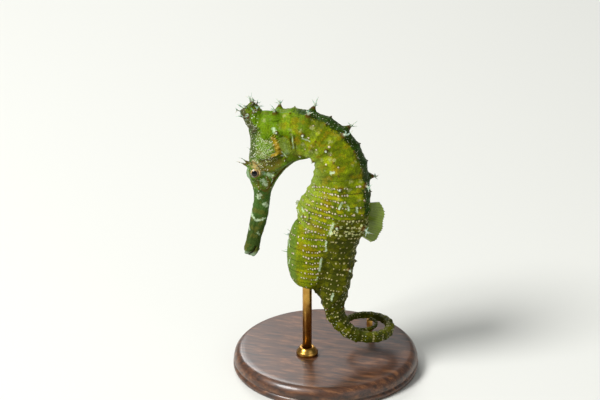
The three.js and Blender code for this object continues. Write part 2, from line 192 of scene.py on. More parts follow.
for part in ("body", "tail"):
    low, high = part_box(f"stand_rod_{part}")
    radius = (high.x - low.x) / 2
    profile = [(0, low.z), (radius, low.z), (radius, high.z - radius * 0.35),
               (radius * 0.9, high.z - radius * 0.1), (radius * 0.6, high.z), (0, high.z)]
    piece_from(turned(profile, (low + high) / 2, 40), f"brass_rod_{part}", brass, "stand_brass",
               f"stand_rod_{part}")

foot, top = collar_low.z - COLLAR_SUNK, collar_high.z
bore = ROD_RADIUS + COLLAR_PLAY
profile = [(bore, foot), (COLLAR_RADIUS, foot), (COLLAR_RADIUS, foot + 0.0008),
           (COLLAR_RADIUS - 0.0003, foot + 0.0011), (COLLAR_RADIUS - 0.0004, foot + 0.0013),
           (COLLAR_RADIUS - 0.0008, top - 0.0002), (COLLAR_RADIUS - 0.001, top),
           (ROD_RADIUS + 0.0002, top), (bore, top - 0.0001), (bore, foot)]
piece_from(turned(profile, ROD_CENTRE, 56), "brass_collar", brass, "stand_brass", "stand_collar")

# ------------------------------------------------------------------------------------------- body's form
# The body follows the line of vertebrae. Bony rings lie under the skin: 11 round the trunk and 36 round the
# tail, each with a rib round its middle, thorns where the rib crosses a ridge, and a groove on either side.
# Sizes here are in millimetres; each finished mesh is made metres.
MM = 0.001
SPINE = [(-11.9, 65.2), (-8, 66.3), (-3.1, 66.8), (1.6, 65.6), (5.1, 62.7), (7.3, 58.7), (8.1, 54.2),
         (8.1, 49.6), (7.6, 44.9), (7.0, 40.2), (6.9, 35.3), (6.9, 30.5), (6.5, 25.9), (5.8, 21.7),
         (5.9, 18), (7.4, 15.2), (9.6, 13)]
COIL_CENTRE = np.array([12, 8.2, 10.6])
COIL_TURNS = 1.45
COIL_RADIUS, COIL_CLOSES = 7.6, 3.6
COIL_ENTRY, COIL_RISES = 1.1, 0.9
NECK_ROOT = 4.0
FIRST_RING = -1.7
TRUNK_END = 35.2
TRUNK_RINGS = 11
TAIL_RINGS = 36
LAST_TO_FIRST_RING = 0.35
TAIL_BEND = 62.0
# At each distance down the body: its depth behind and before the line, and half its width.
GIRTH = np.array([
    (-4, 4.6, 6.0, 3.2), (0, 5.4, 7.1, 3.6), (5, 5.4, 7.4, 4.1), (10, 5.5, 6.9, 4.6), (15, 6.2, 6.2, 5.0),
    (19.5, 6.6, 7.2, 5.4), (24, 6.8, 8.3, 5.7), (28.5, 7.1, 10.0, 6.0), (33, 7.3, 11.5, 6.0),
    (37, 6.6, 10.6, 5.5), (41, 5.2, 6.8, 4.6), (46, 4.4, 6.4, 4.0), (52, 3.7, 7.3, 3.9), (56, 3.2, 6.3, 3.4),
    (60, 2.4, 3.7, 2.7), (66, 1.9, 2.1, 1.95), (80, 1.35, 1.4, 1.4), (112, 0.5, 0.5, 0.5)])
# Where each ridge runs, in degrees from the middle of the back: on the trunk, on the tail, and whether the
# tail keeps it.
RIDGES = [(32, 42, 1.0), (86, 90, 0.0), (138, 138, 1.0), (180, 180, 0.0)]


def ease(at, low, high):
    """0 below low, 1 above high and smooth between them."""
    t = np.clip((at - low) / (high - low), 0, 1)
    return t * t * (3 - 2 * t)


def curve(t, start, end, leaving, arriving):
    """A smooth way from start to end as t goes from 0 to 1, with its slopes at both ends."""
    return ((2 * t**3 - 3 * t**2 + 1) * start + (t**3 - 2 * t**2 + t) * leaving
            + (3 * t**2 - 2 * t**3) * end + (t**3 - t**2) * arriving)


def through(table, at, column):
    """A smooth curve through one column of a table whose first column rises."""
    xs, ys = table[:, 0], table[:, column]
    last = len(xs) - 1
    i = np.clip(np.searchsorted(xs, at) - 1, 0, last - 1)
    before, after = np.maximum(i - 1, 0), np.minimum(i + 2, last)
    width = xs[i + 1] - xs[i]
    leaving = (ys[i + 1] - ys[before]) / (xs[i + 1] - xs[before]) * width
    arriving = (ys[after] - ys[i]) / (xs[after] - xs[i]) * width
    return curve(np.clip((at - xs[i]) / width, 0, 1), ys[i], ys[i + 1], leaving, arriving)


coil_turn = np.linspace(0, COIL_TURNS, 19)
coil_angle = 2 * np.pi * coil_turn - np.pi / 2
coil_radius = COIL_RADIUS - COIL_CLOSES * coil_turn
entering = np.maximum(0, 1 - 5 * coil_turn)
coil_points = COIL_CENTRE + np.stack([coil_radius * np.cos(coil_angle), coil_radius * np.sin(coil_angle),
                                      COIL_ENTRY * entering**2 + COIL_RISES * coil_turn], axis=1)
knots = np.vstack([np.array([(x, 0, z) for x, z in SPINE]), coil_points])
knots = np.vstack([2 * knots[0] - knots[1], knots, 2 * knots[-1] - knots[-2]])
between = np.linspace(0, 1, 160, endpoint=False)[:, None]
line = np.vstack([
    curve(between, knots[i], knots[i + 1], (knots[i + 1] - knots[i - 1]) / 2, (knots[i + 2] - knots[i]) / 2)
    for i in range(1, len(knots) - 2)] + [knots[-2:-1]])
reach = np.concatenate([[0], np.cumsum(np.linalg.norm(np.diff(line, axis=0), axis=1))]) - NECK_ROOT
BODY_END = reach[-1]
heading = np.gradient(line, reach, axis=0)
heading /= np.linalg.norm(heading, axis=1)[:, None]
off_coil = (line - COIL_CENTRE) * (1, 1, 0)
off_coil /= np.linalg.norm(off_coil, axis=1)[:, None]
turning = ease(reach, TAIL_BEND - 14, TAIL_BEND + 6)[:, None]
backward = np.stack([-heading[:, 2], np.zeros(len(line)), heading[:, 0]], axis=1)
backward = backward * (1 - turning) + off_coil * turning
backward -= heading * (backward * heading).sum(1)[:, None]
backward /= np.linalg.norm(backward, axis=1)[:, None]
sideward = np.cross(backward, heading)
back_depth, belly_depth, half_width = (through(GIRTH, reach, column) for column in (1, 2, 3))

trunk_pitch = (TRUNK_END - FIRST_RING) / TRUNK_RINGS
tail_pitch = 2 * (BODY_END - TRUNK_END) / (TAIL_RINGS * (1 + LAST_TO_FIRST_RING))
tail_count = np.arange(TAIL_RINGS + 1)
tail_starts = TRUNK_END + tail_pitch * (
    tail_count - (1 - LAST_TO_FIRST_RING) * tail_count**2 / (2 * TAIL_RINGS))
ring_starts = np.concatenate([FIRST_RING + trunk_pitch * np.arange(-2, TRUNK_RINGS), tail_starts])
ring_numbers = np.arange(-2, TRUNK_RINGS + TAIL_RINGS + 1)


def ring_at(s):
    """How many rings down the body the distances s along it are."""
    return np.interp(s, ring_starts, ring_numbers)


def down_to(ring):
    """The distance along the body to that many rings down it, as a row of one."""
    return np.array([np.interp(ring, ring_numbers, ring_starts)])


def on_line(s, rows):
    """Those rows (points or ways along the body's line) at the distances s along it."""
    return np.stack([np.interp(s, reach, rows[:, k]) for k in range(3)], axis=-1)


def depth_at(s, behind):
    """The body's depth behind its line or before it, at the distances s along it."""
    return np.where(behind, np.interp(s, reach, back_depth), np.interp(s, reach, belly_depth))


def plain_body(s, turn):
    """Centre, outward way and size of the body's plain round form; turn is 0 at the middle of the back."""
    depth = depth_at(s, np.cos(turn) > 0)
    out = (on_line(s, backward) * (np.cos(turn) * depth)[:, None]
           + on_line(s, sideward) * (np.sin(turn) * np.interp(s, reach, half_width))[:, None])
    size = np.linalg.norm(out, axis=1)
    return on_line(s, line), out / size[:, None], size


def tailward(s):
    """0 on the trunk, 1 on the tail."""
    return ease(s, TRUNK_END - 1, TRUNK_END + 8)


def relief(s, turn, size):
    """How far the skin stands off the plain form: ridges and ribs out, grooves and plates in. It is less
    where the body is thin, but the rings of the slim tail stand out clearly."""
    on_tail = tailward(s)
    ridge = np.zeros(len(s))
    for on_trunk, at_tail, kept in RIDGES:
        middle_of = np.radians(on_trunk + (at_tail - on_trunk) * on_tail)
        strength = 1 - (1 - kept) * on_tail
        ridge = np.maximum(ridge, strength * np.exp(-((np.abs(turn) - middle_of) / 0.17) ** 2))
    ring = ring_at(s)
    phase = ring - np.floor(ring)
    rib = np.exp(-((phase - 0.5) / 0.14) ** 2)
    groove = np.exp(-((0.5 - np.abs(phase - 0.5)) / 0.07) ** 2)
    wrinkle = np.cos(2 * np.pi * 4 * ring) * ease(np.abs(turn), 1.3, 2.0) * ease(ring, 6, 8)
    ringed = ease(s, FIRST_RING - 0.5, FIRST_RING + 0.5)
    rise = -0.08 + 0.2 * rib * ridge - 0.13 * groove - 0.36 * (1 - ridge) * (1 - 0.7 * rib) + 0.035 * wrinkle
    return rise * ringed * np.minimum(1, size / 3.5) * (1 + 0.7 * on_tail * ease(s, 56, 66))


def wrapped(rows, columns, place):
    """A closed tube: a flat sheet wrapped round by place(row, turn) and capped. Row goes from 0 to 1 along
    the tube and turn once round it."""
    sheet = bmesh.new()
    bmesh.ops.create_grid(sheet, x_segments=columns, y_segments=rows, size=0.5)
    flat = np.array([v.co for v in sheet.verts]) + 0.5
    for v, spot in zip(sheet.verts, place(flat[:, 1], (flat[:, 0] * 2 - 1) * np.pi)):
        v.co = spot
    bmesh.ops.remove_doubles(sheet, verts=sheet.verts, dist=1e-5)
    bmesh.ops.holes_fill(sheet, edges=sheet.edges)
    bmesh.ops.recalc_face_normals(sheet, faces=sheet.faces)
    return sheet


clay = bmesh.new()       # every form of flesh, before they are made one skin
samples = []             # points of the forms, each with its form's facts: see note()


def note(points, along=0.0, head=0.0, pouch=0.0, crown=0.0, tip=0.0):
    """Keeps what is known at points of a form: how far along the body, which form, how far up a thorn."""
    columns = np.broadcast_arrays(np.zeros(len(points)), along, head, pouch, crown, tip)[1:]
    samples.append(np.column_stack([points, *columns]))


def put_in_clay(form):
    mesh = mesh_from(form, "form")
    clay.from_mesh(mesh)
    bpy.data.meshes.remove(mesh)


def body_place(row, turn):
    s = -NECK_ROOT + 0.05 + row * (BODY_END + NECK_ROOT - 0.1)
    centre, out, size = plain_body(s, turn)
    skin_points = centre + out * (size + relief(s, turn, size))[:, None]
    note(skin_points, along=s)
    return skin_points


put_in_clay(wrapped(640, 110, body_place))


def stem(sides):
    """An upright stem, 1 in radius and 1 high, with six rings of points between its ends."""
    bm = bmesh.new()
    bmesh.ops.create_cone(bm, cap_ends=True, segments=sides, radius1=1.0, radius2=1.0, depth=1.0,
                          matrix=Matrix.Translation((0, 0, 0.5)))
    upright = [e for e in bm.edges if abs(e.verts[0].co.z - e.verts[1].co.z) > 0.5]
    bmesh.ops.subdivide_edges(bm, edges=upright, cuts=6)
    return bm


# Thorns: a cone with a spreading foot and a slightly hooked point, one for each ridge of each ring. Every few
# rings carry long ones. No two are quite alike.
thorn_form = stem(12)
for v in thorn_form.verts:
    height = v.co.z
    narrow = 0.1 + 0.9 * (1 - height) ** 1.55
    v.co = (v.co.x * narrow + 0.2 * height**2, v.co.y * narrow, height)
thorn_mesh = mesh_from(thorn_form, "thorn")


def put_thorn(foot, out, lean, length, radius, **known):
    """A thorn in the clay: its foot is sunk a little, and its point leans towards lean. Gives its point."""
    up = Vector(out).normalized()
    over = (Vector(lean) - up * Vector(lean).dot(up)).normalized()
    aside = up.cross(over)
    sunk = 0.35 * radius + 0.15
    seen = len(clay.verts)
    clay.from_mesh(thorn_mesh)
    clay.verts.ensure_lookup_table()
    mine = clay.verts[seen:]
    turned_to = Matrix((over * radius, aside * radius, up * (length + sunk))).transposed().to_4x4()
    turned_to.translation = Vector(foot) - up * sunk
    heights = np.array([v.co.z for v in mine])
    bmesh.ops.transform(clay, matrix=turned_to, verts=mine)
    rising = np.clip((heights * (length + sunk) - sunk) / length, 0, 1)
    note(np.array([v.co for v in mine]), tip=rising * min(1, length), **known)
    return Vector(foot) + up * length + over * 0.2 * radius


LONG_TRUNK_RINGS = (0, 2, 4, 7, 10)
LONG_REACH = (2.1, 1.2, 1.0, 0.4)        # on each ridge
SHORT_REACH = (0.75, 0.6, 0.5, 0.35)
LONG_FOOT, SHORT_FOOT = 1.75, 1.0
chance = np.random.default_rng(11)
long_tips = []           # where skin threads grow from
for ring in range(TRUNK_RINGS + TAIL_RINGS):
    on_tail_ring = ring >= TRUNK_RINGS
    s = down_to(ring + 0.5)
    ahead = on_line(s, heading)[0]
    long = (ring - TRUNK_RINGS) % 4 == 3 if on_tail_ring else ring in LONG_TRUNK_RINGS
    taper = 0.6 * (1 - 0.85 * (ring - TRUNK_RINGS) / TAIL_RINGS) if on_tail_ring else 1.0
    on_tail = float(tailward(s[0]))
    for (on_trunk, at_tail, kept), long_reach, short_reach in zip(RIDGES, LONG_REACH, SHORT_REACH):
        if ring > TRUNK_RINGS + 1 and not kept:
            continue
        for sign in (1, -1) if on_trunk < 180 else (1,):
            turn = math.radians(on_trunk + (at_tail - on_trunk) * on_tail) * sign
            centre, out, size = plain_body(s, np.array([turn]))
            thick = min(1.0, size[0] / 3)
            length = (long_reach if long else short_reach) * taper * thick * (0.92 + 0.1 * chance.random())
            radius = min((LONG_FOOT if long else SHORT_FOOT) * (0.4 + 0.6 * thick), 0.4 * size[0])
            foot = centre[0] + out[0] * (size[0] - 0.12)
            lean = ahead + 0.4 * (chance.random(3) - 0.5)
            point = put_thorn(foot, out[0], lean, length, radius, along=s[0])
            if long and on_trunk == RIDGES[0][0] and not on_tail_ring:
                long_tips.append((point, Vector(out[0]), Vector(ahead)))

# -------------------------------------------------------------------------------------------------- pouch
# The male's brood pouch: a smooth bag of skin under the tail's root, full, with a nearly straight front. The
# belly runs down onto it, so a soft fillet joins the two.
POUCH_CENTRE = np.array([0.1, 0, 34.0])
POUCH_HALF = np.array([6.5, 5.1, 9.6])
POUCH_STRAIGHT = 0.5
POUCH_LEAN = 0.05
FOLD_DEEP, FOLD_APART = 0.03, 0.84
POUCH_ROOM = 0.08        # kept for the skin's unevenness


def pouch_place(row, turn):
    height = -np.cos(np.clip(row, 0.004, 0.996) * np.pi)
    spread = np.sqrt(1 - height**2) ** POUCH_STRAIGHT
    fold = FOLD_DEEP * np.cos(height * POUCH_HALF[2] * 2 * np.pi / FOLD_APART)
    bag = np.stack([spread * np.cos(turn), spread * np.sin(turn), height], axis=1) * (POUCH_HALF - POUCH_ROOM)
    bag[:, :2] *= (1 + fold / 5.5)[:, None]
    hung = bag @ np.array(Matrix.Rotation(POUCH_LEAN, 3, "Y")).T + POUCH_CENTRE
    note(hung, pouch=1.0)
    return hung


put_in_clay(wrapped(110, 90, pouch_place))

# ---------------------------------------------------------------------------------------- head and snout
# A long thin snout with a small upturned mouth, a deep head with the eyes low and far forward, a swollen
# gill cover and a narrow forehead. Sections go from the mouth to the nape and fan round the throat.

# Each section: its number, how far along and up its front is, the same for its throat, and half its width.
HEAD = np.array([
    (0, -17.6, 32.0, -14.6, 31.4, 1.35), (0.35, -17.8, 33.0, -13.9, 32.9, 1.75),
    (1, -17.1, 36.0, -13.3, 36.1, 1.55), (2, -16.0, 42.0, -11.6, 42.0, 1.65),
    (3, -15.0, 47.4, -10.8, 47.8, 1.9), (4, -15.4, 50.4, -9.9, 50.9, 2.9),
    (5, -16.7, 54.0, -7.8, 54.5, 3.5), (6, -16.1, 57.8, -5.3, 57.3, 3.9), (7, -15.6, 62.1, -3.1, 58.7, 4.2),
    (8, -15.9, 66.4, -1.6, 59.1, 4.1), (9, -13.4, 70.3, -0.8, 59.4, 3.9), (10, -10.3, 70.9, -0.9, 59.7, 3.7)])
OF_HEAD = {"along": -NECK_ROOT, "head": 1.0}
HEAD_ROOM = 0.12         # kept for the skin's unevenness


def head_place(row, turn):
    station = 0.02 + row * 9.96
    front_x, front_z, throat_x, throat_z, width = (through(HEAD, station, c) for c in (1, 2, 3, 4, 5))
    skull = ease(station, 3.2, 5.0)
    brow = np.clip(np.cos(turn), 0, 1)
    jowl = np.clip(-np.cos(turn), 0, 1)
    across = (width - HEAD_ROOM - 0.38 * skull) * np.sin(turn)
    across = across * (1 - 0.25 * skull * brow**2) * (1 - 0.12 * skull * jowl**2)
    spots = np.stack([(front_x + throat_x) / 2 + (front_x - throat_x) / 2 * np.cos(turn), across,
                      (front_z + throat_z) / 2 + (front_z - throat_z) / 2 * np.cos(turn)], axis=1)
    note(spots, **OF_HEAD)
    return spots


put_in_clay(wrapped(190, 96, head_place))

EYE_CENTRES = [np.array([-13.8, -2.3 * sign, 55.1]) for sign in (1, -1)]
EYE_RADIUS = 2.05
TURRET_RADIUS = 2.42
LOOKS = [np.array([0.08, -1.0 * sign, 0.2]) / np.linalg.norm((0.08, 1.0, 0.2)) for sign in (1, -1)]
for eye_centre in EYE_CENTRES:
    turret = bmesh.new()
    bmesh.ops.create_uvsphere(turret, u_segments=40, v_segments=24, radius=TURRET_RADIUS,
                              matrix=Matrix.Translation(eye_centre))
    note(np.array([v.co for v in turret.verts]), **OF_HEAD)
    put_in_clay(turret)

# Single thorns of the head: nose, brow, cheek and gill cover. Each has its foot, the way it points, its
# length and radius, and its sides.
HEAD_THORNS = [
    ((-16.2, 0, 55.6), (-1, 0, 0.35), 3.0, 0.8, (1,)),
    ((-15.2, -2.5, 57.0), (-0.66, -0.3, 0.72), 3.0, 0.8, (1, -1)),
    ((-9.0, -2.9, 54.9), (-0.15, -1, -0.75), 1.8, 0.7, (1, -1)),
    ((-6.2, -3.2, 59.8), (0.3, -1, 0.1), 1.8, 0.7, (1, -1))]
face_tips = []
for foot, out, length, radius, signs in HEAD_THORNS:
    for sign in signs:
        side = Vector((1, sign, 1))
        point = put_thorn(Vector(foot) * side, Vector(out) * side, (0, 0, -1), length, radius, **OF_HEAD)
        face_tips.append((point, (Vector(out) * side).normalized(), length))

# The crown on the nape: a short rough stalk with five blunt points and small knobs between them.
CROWN_FOOT = Vector((-13.1, 0, 66.6))
CROWN_UP = Vector((-0.6, 0, 0.8))
CROWN_AHEAD = Vector((-0.8, 0, -0.6))
CROWN_HEIGHT = 6.0
CROWN_POINTS_AND_KNOBS = 15
crown_form = bmesh.new()
bmesh.ops.create_cone(crown_form, cap_ends=True, segments=40, radius1=2.9, radius2=2.2, depth=CROWN_HEIGHT,
                      matrix=Matrix.Translation((0, 0, CROWN_HEIGHT / 2)))
rim = [e for e in crown_form.edges if min(v.co.z for v in e.verts) > CROWN_HEIGHT - 0.1]
bmesh.ops.bevel(crown_form, geom=rim, offset=0.6, affect="EDGES", segments=3, profile=0.5, material=-1)
bmesh.ops.subdivide_edges(crown_form, edges=crown_form.edges, cuts=2)
for v in crown_form.verts:
    if v.co.z > CROWN_HEIGHT - 0.8:
        v.co.z -= 0.7 * max(0.0, 1 - math.hypot(v.co.x, v.co.y) / 1.6)
stand_up = CROWN_UP.to_track_quat("Z", "Y").to_matrix().to_4x4()
stand_up.translation = CROWN_FOOT
bmesh.ops.transform(crown_form, matrix=stand_up, verts=crown_form.verts)
note(np.array([v.co for v in crown_form.verts]), crown=1.0, **OF_HEAD)
put_in_clay(crown_form)
crown_tips = []
for number in range(CROWN_POINTS_AND_KNOBS):
    swing = 2 * math.pi * number / CROWN_POINTS_AND_KNOBS + math.pi
    outward = CROWN_AHEAD * math.cos(swing) + Vector((0, 1, 0)) * math.sin(swing)
    if number % 3 == 0:
        sink, away, rise, length, radius = 1.0, 1.2, 1.6, 2.4, 1.0
    else:
        sink, away, rise, length, radius = 1.2 + 1.5 * chance.random(), 1.75, 0.7, 1.3, 0.6
    foot = CROWN_FOOT + CROWN_UP * (CROWN_HEIGHT - sink) + outward * away
    way = outward + CROWN_UP * rise
    crown_tips.append((put_thorn(foot, way, outward, length, radius, crown=1.0, **OF_HEAD), way.normalized()))

# ---------------------------------------------------------------------------------------------- one skin
# All forms are melted into one closed skin, then worked like clay with a fine tool: gill cover, brow, cheek,
# snout, mouth and eyelids, and the small unevenness of living skin.
VOXEL = 0.17
SKIN_TRIANGLES = 194000
skin = put_in_scene("seahorse_skin", mesh_from(clay, "clay"))
melt = skin.modifiers.new("melt", "REMESH")
melt.mode = "VOXEL"
melt.voxel_size = VOXEL
relax = skin.modifiers.new("relax", "SMOOTH")
relax.factor = 0.4
relax.iterations = 2


def settle(obj):
    """Makes the object's modifiers part of its mesh."""
    bpy.context.view_layer.update()
    done = bpy.data.meshes.new_from_object(obj.evaluated_get(bpy.context.evaluated_depsgraph_get()))
    obj.modifiers.clear()
    old = obj.data
    obj.data = done
    bpy.data.meshes.remove(old)


settle(skin)

known = np.vstack(samples)
finder = KDTree(len(known))
for index, point in enumerate(known[:, :3]):
    finder.insert(point, index)
finder.balance()


def facts_near(points):
    """The facts of the forms, carried over to places on the skin from their four nearest samples."""
    found = np.zeros((len(points), known.shape[1] - 3))
    for row, point in enumerate(points):
        near = finder.find_n(point, 4)
        weights = np.array([1 / (distance + 0.02) ** 2 for _, _, distance in near])
        found[row] = weights @ known[[index for _, index, _ in near], 3:] / weights.sum()
    return found.T


def read_skin(what):
    """The places or the normals of the skin's points, one row each."""
    values = np.empty(len(skin.data.vertices) * 3)
    skin.data.vertices.foreach_get(what, values)
    return values.reshape(-1, 3)


def shape_skin(points):
    """Moves the skin's points to those places."""
    skin.data.vertices.foreach_set("co", points.ravel())
    skin.data.update()


def gap_to(points, stops):
    """Distance in the side view from a line through the stops."""
    gap = np.full(len(points), 99.0)
    for (ax, az), (bx, bz) in zip(stops, stops[1:]):
        dx, dz = bx - ax, bz - az
        share = (((points[:, 0] - ax) * dx + (points[:, 2] - az) * dz) / (dx * dx + dz * dz)).clip(0, 1)
        gap = np.minimum(gap, np.hypot(points[:, 0] - ax - share * dx, points[:, 2] - az - share * dz))
    return gap


def oval(points, centre, radii, tilt):
    """0 at the centre of an oval in the side view, 1 on its edge; tilt leans its top forward."""
    dx, dz = points[:, 0] - centre[0], points[:, 2] - centre[1]
    across = dx * math.cos(tilt) + dz * math.sin(tilt)
    upright = -dx * math.sin(tilt) + dz * math.cos(tilt)
    return np.hypot(across / radii[0], upright / radii[1])


GILL_COVER = ((-10.3, 62.8), (3.4, 4.7), -0.36)
GILL_PIVOT = (-12.9, 59.8)
NOSTRIL = (-15.7, 53.2)
GAPE = [(-16.8, 31.3), (-15.9, 32.2), (-14.9, 33.0), (-14.3, 34.3)]
HEAD_FOLDS = [           # height, half width, and the line that the fold follows in the side view
    (0.65, 0.5, [(-15.1, 57.8), (-13.4, 58.4), (-11.5, 57.4)]),        # brow
    (0.7, 0.6, [(-11.4, 56.5), (-9.0, 56.7), (-5.8, 58.9)]),           # cheek bone
    (-0.5, 0.4, [(-12.3, 58.7), (-9.4, 59.4), (-6.7, 60.6)]),          # under the gill cover
    (-0.5, 0.8, [(-14.1, 60.2), (-13.9, 65.0)]),                       # temple
    (0.4, 0.4, [(-13.4, 59.4), (-13.6, 63.0), (-12.6, 67.0)]),         # ridge from brow to crown
    (0.4, 0.45, [(-11.5, 68.2), (-8.0, 68.6), (-4.0, 69.0)]),          # ridge of the nape
    (-0.5, 0.4, [(-8.0, 67.6), (-6.5, 65.2), (-6.1, 62.4)]),           # gill slit
    (0.18, 0.35, [(-12.9, 51.5), (-14.4, 42.0), (-15.8, 35.0)]),       # side line of the snout
    (-0.7, 0.16, GAPE),                                                # gape of the mouth
    (0.3, 0.28, [(-17.3, 32.0), (-16.2, 32.9), (-15.3, 33.8)]),        # upper lip
    (0.3, 0.28, [(-15.9, 31.1), (-14.9, 31.9), (-14.1, 32.9)]),        # lower lip
    (-0.3, 0.22, [(-10.2, 51.6), (-8.9, 53.9), (-6.4, 57.0)]),         # edge of the gill membrane
    (0.3, 0.4, [(-12.4, 53.9), (-12.2, 51.9), (-13.0, 50.2)])]         # bone before the cheek

points, normals = read_skin("co"), read_skin("normal")
x, y, z = points.T
along, head_part, pouch_part, crown_part, tip = facts_near(points)
face_part = head_part * (1 - crown_part) * (1 - ease(tip, 0.05, 0.3))
flank = face_part * ease(np.abs(normals[:, 1]), 0.15, 0.55)
on_plate = 1 - ease(oval(points, *GILL_COVER), 0.9, 1.0)
lift = 0.75 * flank * on_plate * (0.25 + 0.75 * ease(x, -13.4, -9.5))
spokes = np.arctan2(z - GILL_PIVOT[1], x - GILL_PIVOT[0])
lift += 0.1 * flank * on_plate * np.cos(spokes * 26) * ease(x, -12.6, -11.0)
for height, half, stops in HEAD_FOLDS:
    lift += height * flank * np.exp(-(gap_to(points, stops) / half) ** 2)
crest = np.exp(-(y / 0.45) ** 2) * ease(z, 56.5, 58.5) * (1 - ease(x, -14.5, -13.0))
lift += 0.25 * face_part * crest
hollow = 1 - ease(np.hypot(x - NOSTRIL[0], z - NOSTRIL[1]), 0.2, 0.5)
lift -= 0.3 * face_part * hollow * ease(np.abs(y), 0.5, 0.9)
lumps, grains = (np.array([noise.noise(Vector(point) * per_mm) for point in points]) for per_mm in (0.8, 2.7))
slim = np.minimum(1, np.interp(along, reach, half_width) / 3)
lift += (0.1 * lumps + 0.05 * grains) * slim * (1 + 2.5 * crown_part)
points += normals * lift[:, None]

# The mouth is a small hollow at the snout's end, with a rounded lip about it.
MOUTH_AT = -16.1
inner_lip = np.hypot((points[:, 0] - MOUTH_AT) / 1.15, points[:, 1] / 0.95)
at_end = face_part * (1 - ease(points[:, 2], 32.4, 33.2))
throat = 1.1 * (1 - ease(inner_lip, 0.3, 0.8))
points[:, 2] += at_end * (throat - 0.15 * np.exp(-((inner_lip - 1.0) / 0.2) ** 2))

# The eyelids: a round opening with a rolled edge, fine creases that run out from it, and rings about it.
LID_RADIUS = 2.22
LID_OPENING = 32         # degrees from the middle of the pupil
SOCKET_RADIUS = 1.7
TURRET_REACH = 2.9
for eye_centre, look in zip(EYE_CENTRES, LOOKS):
    spoke = points - eye_centre
    distance = np.linalg.norm(spoke, axis=1)
    turned_away = np.degrees(np.arccos(np.clip(spoke @ look / distance, -1, 1)))
    swing = np.arctan2(spoke[:, 2], spoke[:, 0])
    rolled_edge = 0.12 * np.exp(-((turned_away - 38) / 4) ** 2)
    creases = 0.07 * np.cos(13 * swing + 5 * lumps) * ease(turned_away, 40, 50)
    lid = LID_RADIUS + rolled_edge + creases + 0.05 * np.cos(turned_away * 0.62 + 2 * lumps)
    wanted = np.where(turned_away < LID_OPENING, SOCKET_RADIUS, lid)
    held = (distance < TURRET_REACH) * (1 - ease(turned_away, 60, 86))
    points = eye_centre + spoke * (1 + (wanted / distance - 1) * held)[:, None]
shape_skin(points)

# Thin out the flat places, so that the thorns keep their fine points.
thin = skin.modifiers.new("thin", "DECIMATE")
thin.ratio = min(1.0, SKIN_TRIANGLES / (2 * len(skin.data.polygons)))
settle(skin)

# Where each place lies on the body: how many rings down, how far round from the middle of the back.
points = read_skin("co")
x, y, z = points.T
along, head_part, pouch_part, crown_part, tip = facts_near(points)
for _ in range(8):
    from_line = points - on_line(along, line)
    along = np.clip(along + 0.7 * (from_line * on_line(along, heading)).sum(1), -NECK_ROOT, BODY_END)
from_line = points - on_line(along, line)
back_way = (from_line * on_line(along, backward)).sum(1)
side_way = np.abs((from_line * on_line(along, sideward)).sum(1))
wide = np.interp(along, reach, half_width)
turn = np.arctan2(side_way / wide, back_way / depth_at(along, back_way > 0))
swept = np.linspace(0, 1, 49)[:, None] * turn
outline = np.hypot(depth_at(along, swept < np.pi / 2) * np.sin(swept), wide * np.cos(swept))
girdle = ((outline[1:] + outline[:-1]) / 2 * np.diff(swept, axis=0)).sum(0)
# On the pouch, the rings go by height, and the way round is the bag's own.
on_bag = ease(pouch_part, 0.4, 0.6)
beside_bag = (line[:, 2] > 20) & (reach > 25)
level = np.interp(-z, -line[beside_bag, 2], reach[beside_bag])
bag_turn = np.abs(np.arctan2(y, -(x - POUCH_CENTRE[0])))
ring = ring_at(along)
ring = ring + (ring_at(level) - ring) * on_bag
girdle = girdle + (5.6 * (np.pi - bag_turn) + 6 - girdle) * on_bag
pitch = np.interp(ring, [TRUNK_RINGS, TRUNK_RINGS + TAIL_RINGS],
                  [tail_pitch, tail_pitch * LAST_TO_FIRST_RING])
shape_skin(points * MM)


def painted(*strokes):
    """Above 0 within painted strokes, 1 on their middle: each has a half width and the stops of its line."""
    return np.max([1 - gap_to(points, stops) / half for half, stops in strokes], axis=0)


def clouds(per_mm, shift):
    """Soft uneven patches over the skin, about -1 to 1, that many to a millimetre."""
    aside = Vector((shift, 0, 0))
    return np.array([noise.fractal(Vector(point) * per_mm + aside, 0.7, 2.0, 4) for point in points])


face = head_part > 0.5
trunk = head_part < 0.5
broad = clouds(0.22, 0)
patchy = clouds(0.5, 40)
# The yellow belly and pouch end at a line down the side; behind it the back and tail are brown.
saddle_edge = np.interp(z, [22, 26.6, 30.5, 34, 39, 41.3, 45], [-4, 1.8, 3.0, 3.7, 4.7, 5.8, 7.2])
brown = np.minimum(x - saddle_edge, 1.2 * (46.0 - z)) * trunk - 9 * face
brown = np.where(z < 20, 3.0, brown)
below_neck = ease(ring, 1.0, 2.5)
pouch_front = (pouch_part > 0.5) * ease(-x, 2.2, 3.8) * ease(z, 22, 26)
# Painted shade: the middle of the back is painted dark green, as a back in shade looks; the pale specks and
# blue-green bits on it are the skin's own.
back = (1 - ease(turn, 0.1, 1.0)) * trunk * below_neck
snout = face * (1 - ease(z, 49.8, 51.6))
forehead = face * ease(-x, 12.4, 15.2) * ease(z, 57.5, 59) * (1 - ease(z, 66, 69))
off_row = (ring * 4 - 0.27) % 2
off_row = np.minimum(off_row, 2 - off_row)
fewer_in_front = 1 - 0.75 * np.maximum(ease(turn, 2.3, 2.8), pouch_front)
wart_share = np.where(ring > 7.4, 0.95, 0.07) * trunk * fewer_in_front * below_neck
wart_share = np.where(brown > 0, 0.5, wart_share)
wart_share = np.where((turn < 1.2) & (brown <= 0), wart_share * 0.4, wart_share)
speck_share = face * (1 - snout) * (0.1 + 0.85 * ease(-x, 7.0, 10.5)) * (1 - ease(z, 66, 70))
speck_share = speck_share * (1 - 0.6 * ease(57.5 - z, 0, 1.5))
speck_share = speck_share + ease(back, 0.4, 0.6) * 0.3 + 0.25 * crown_part
lace = face * ease(-x, 8.0, 10.5) * (1 - crown_part) * (1 - 0.8 * forehead)
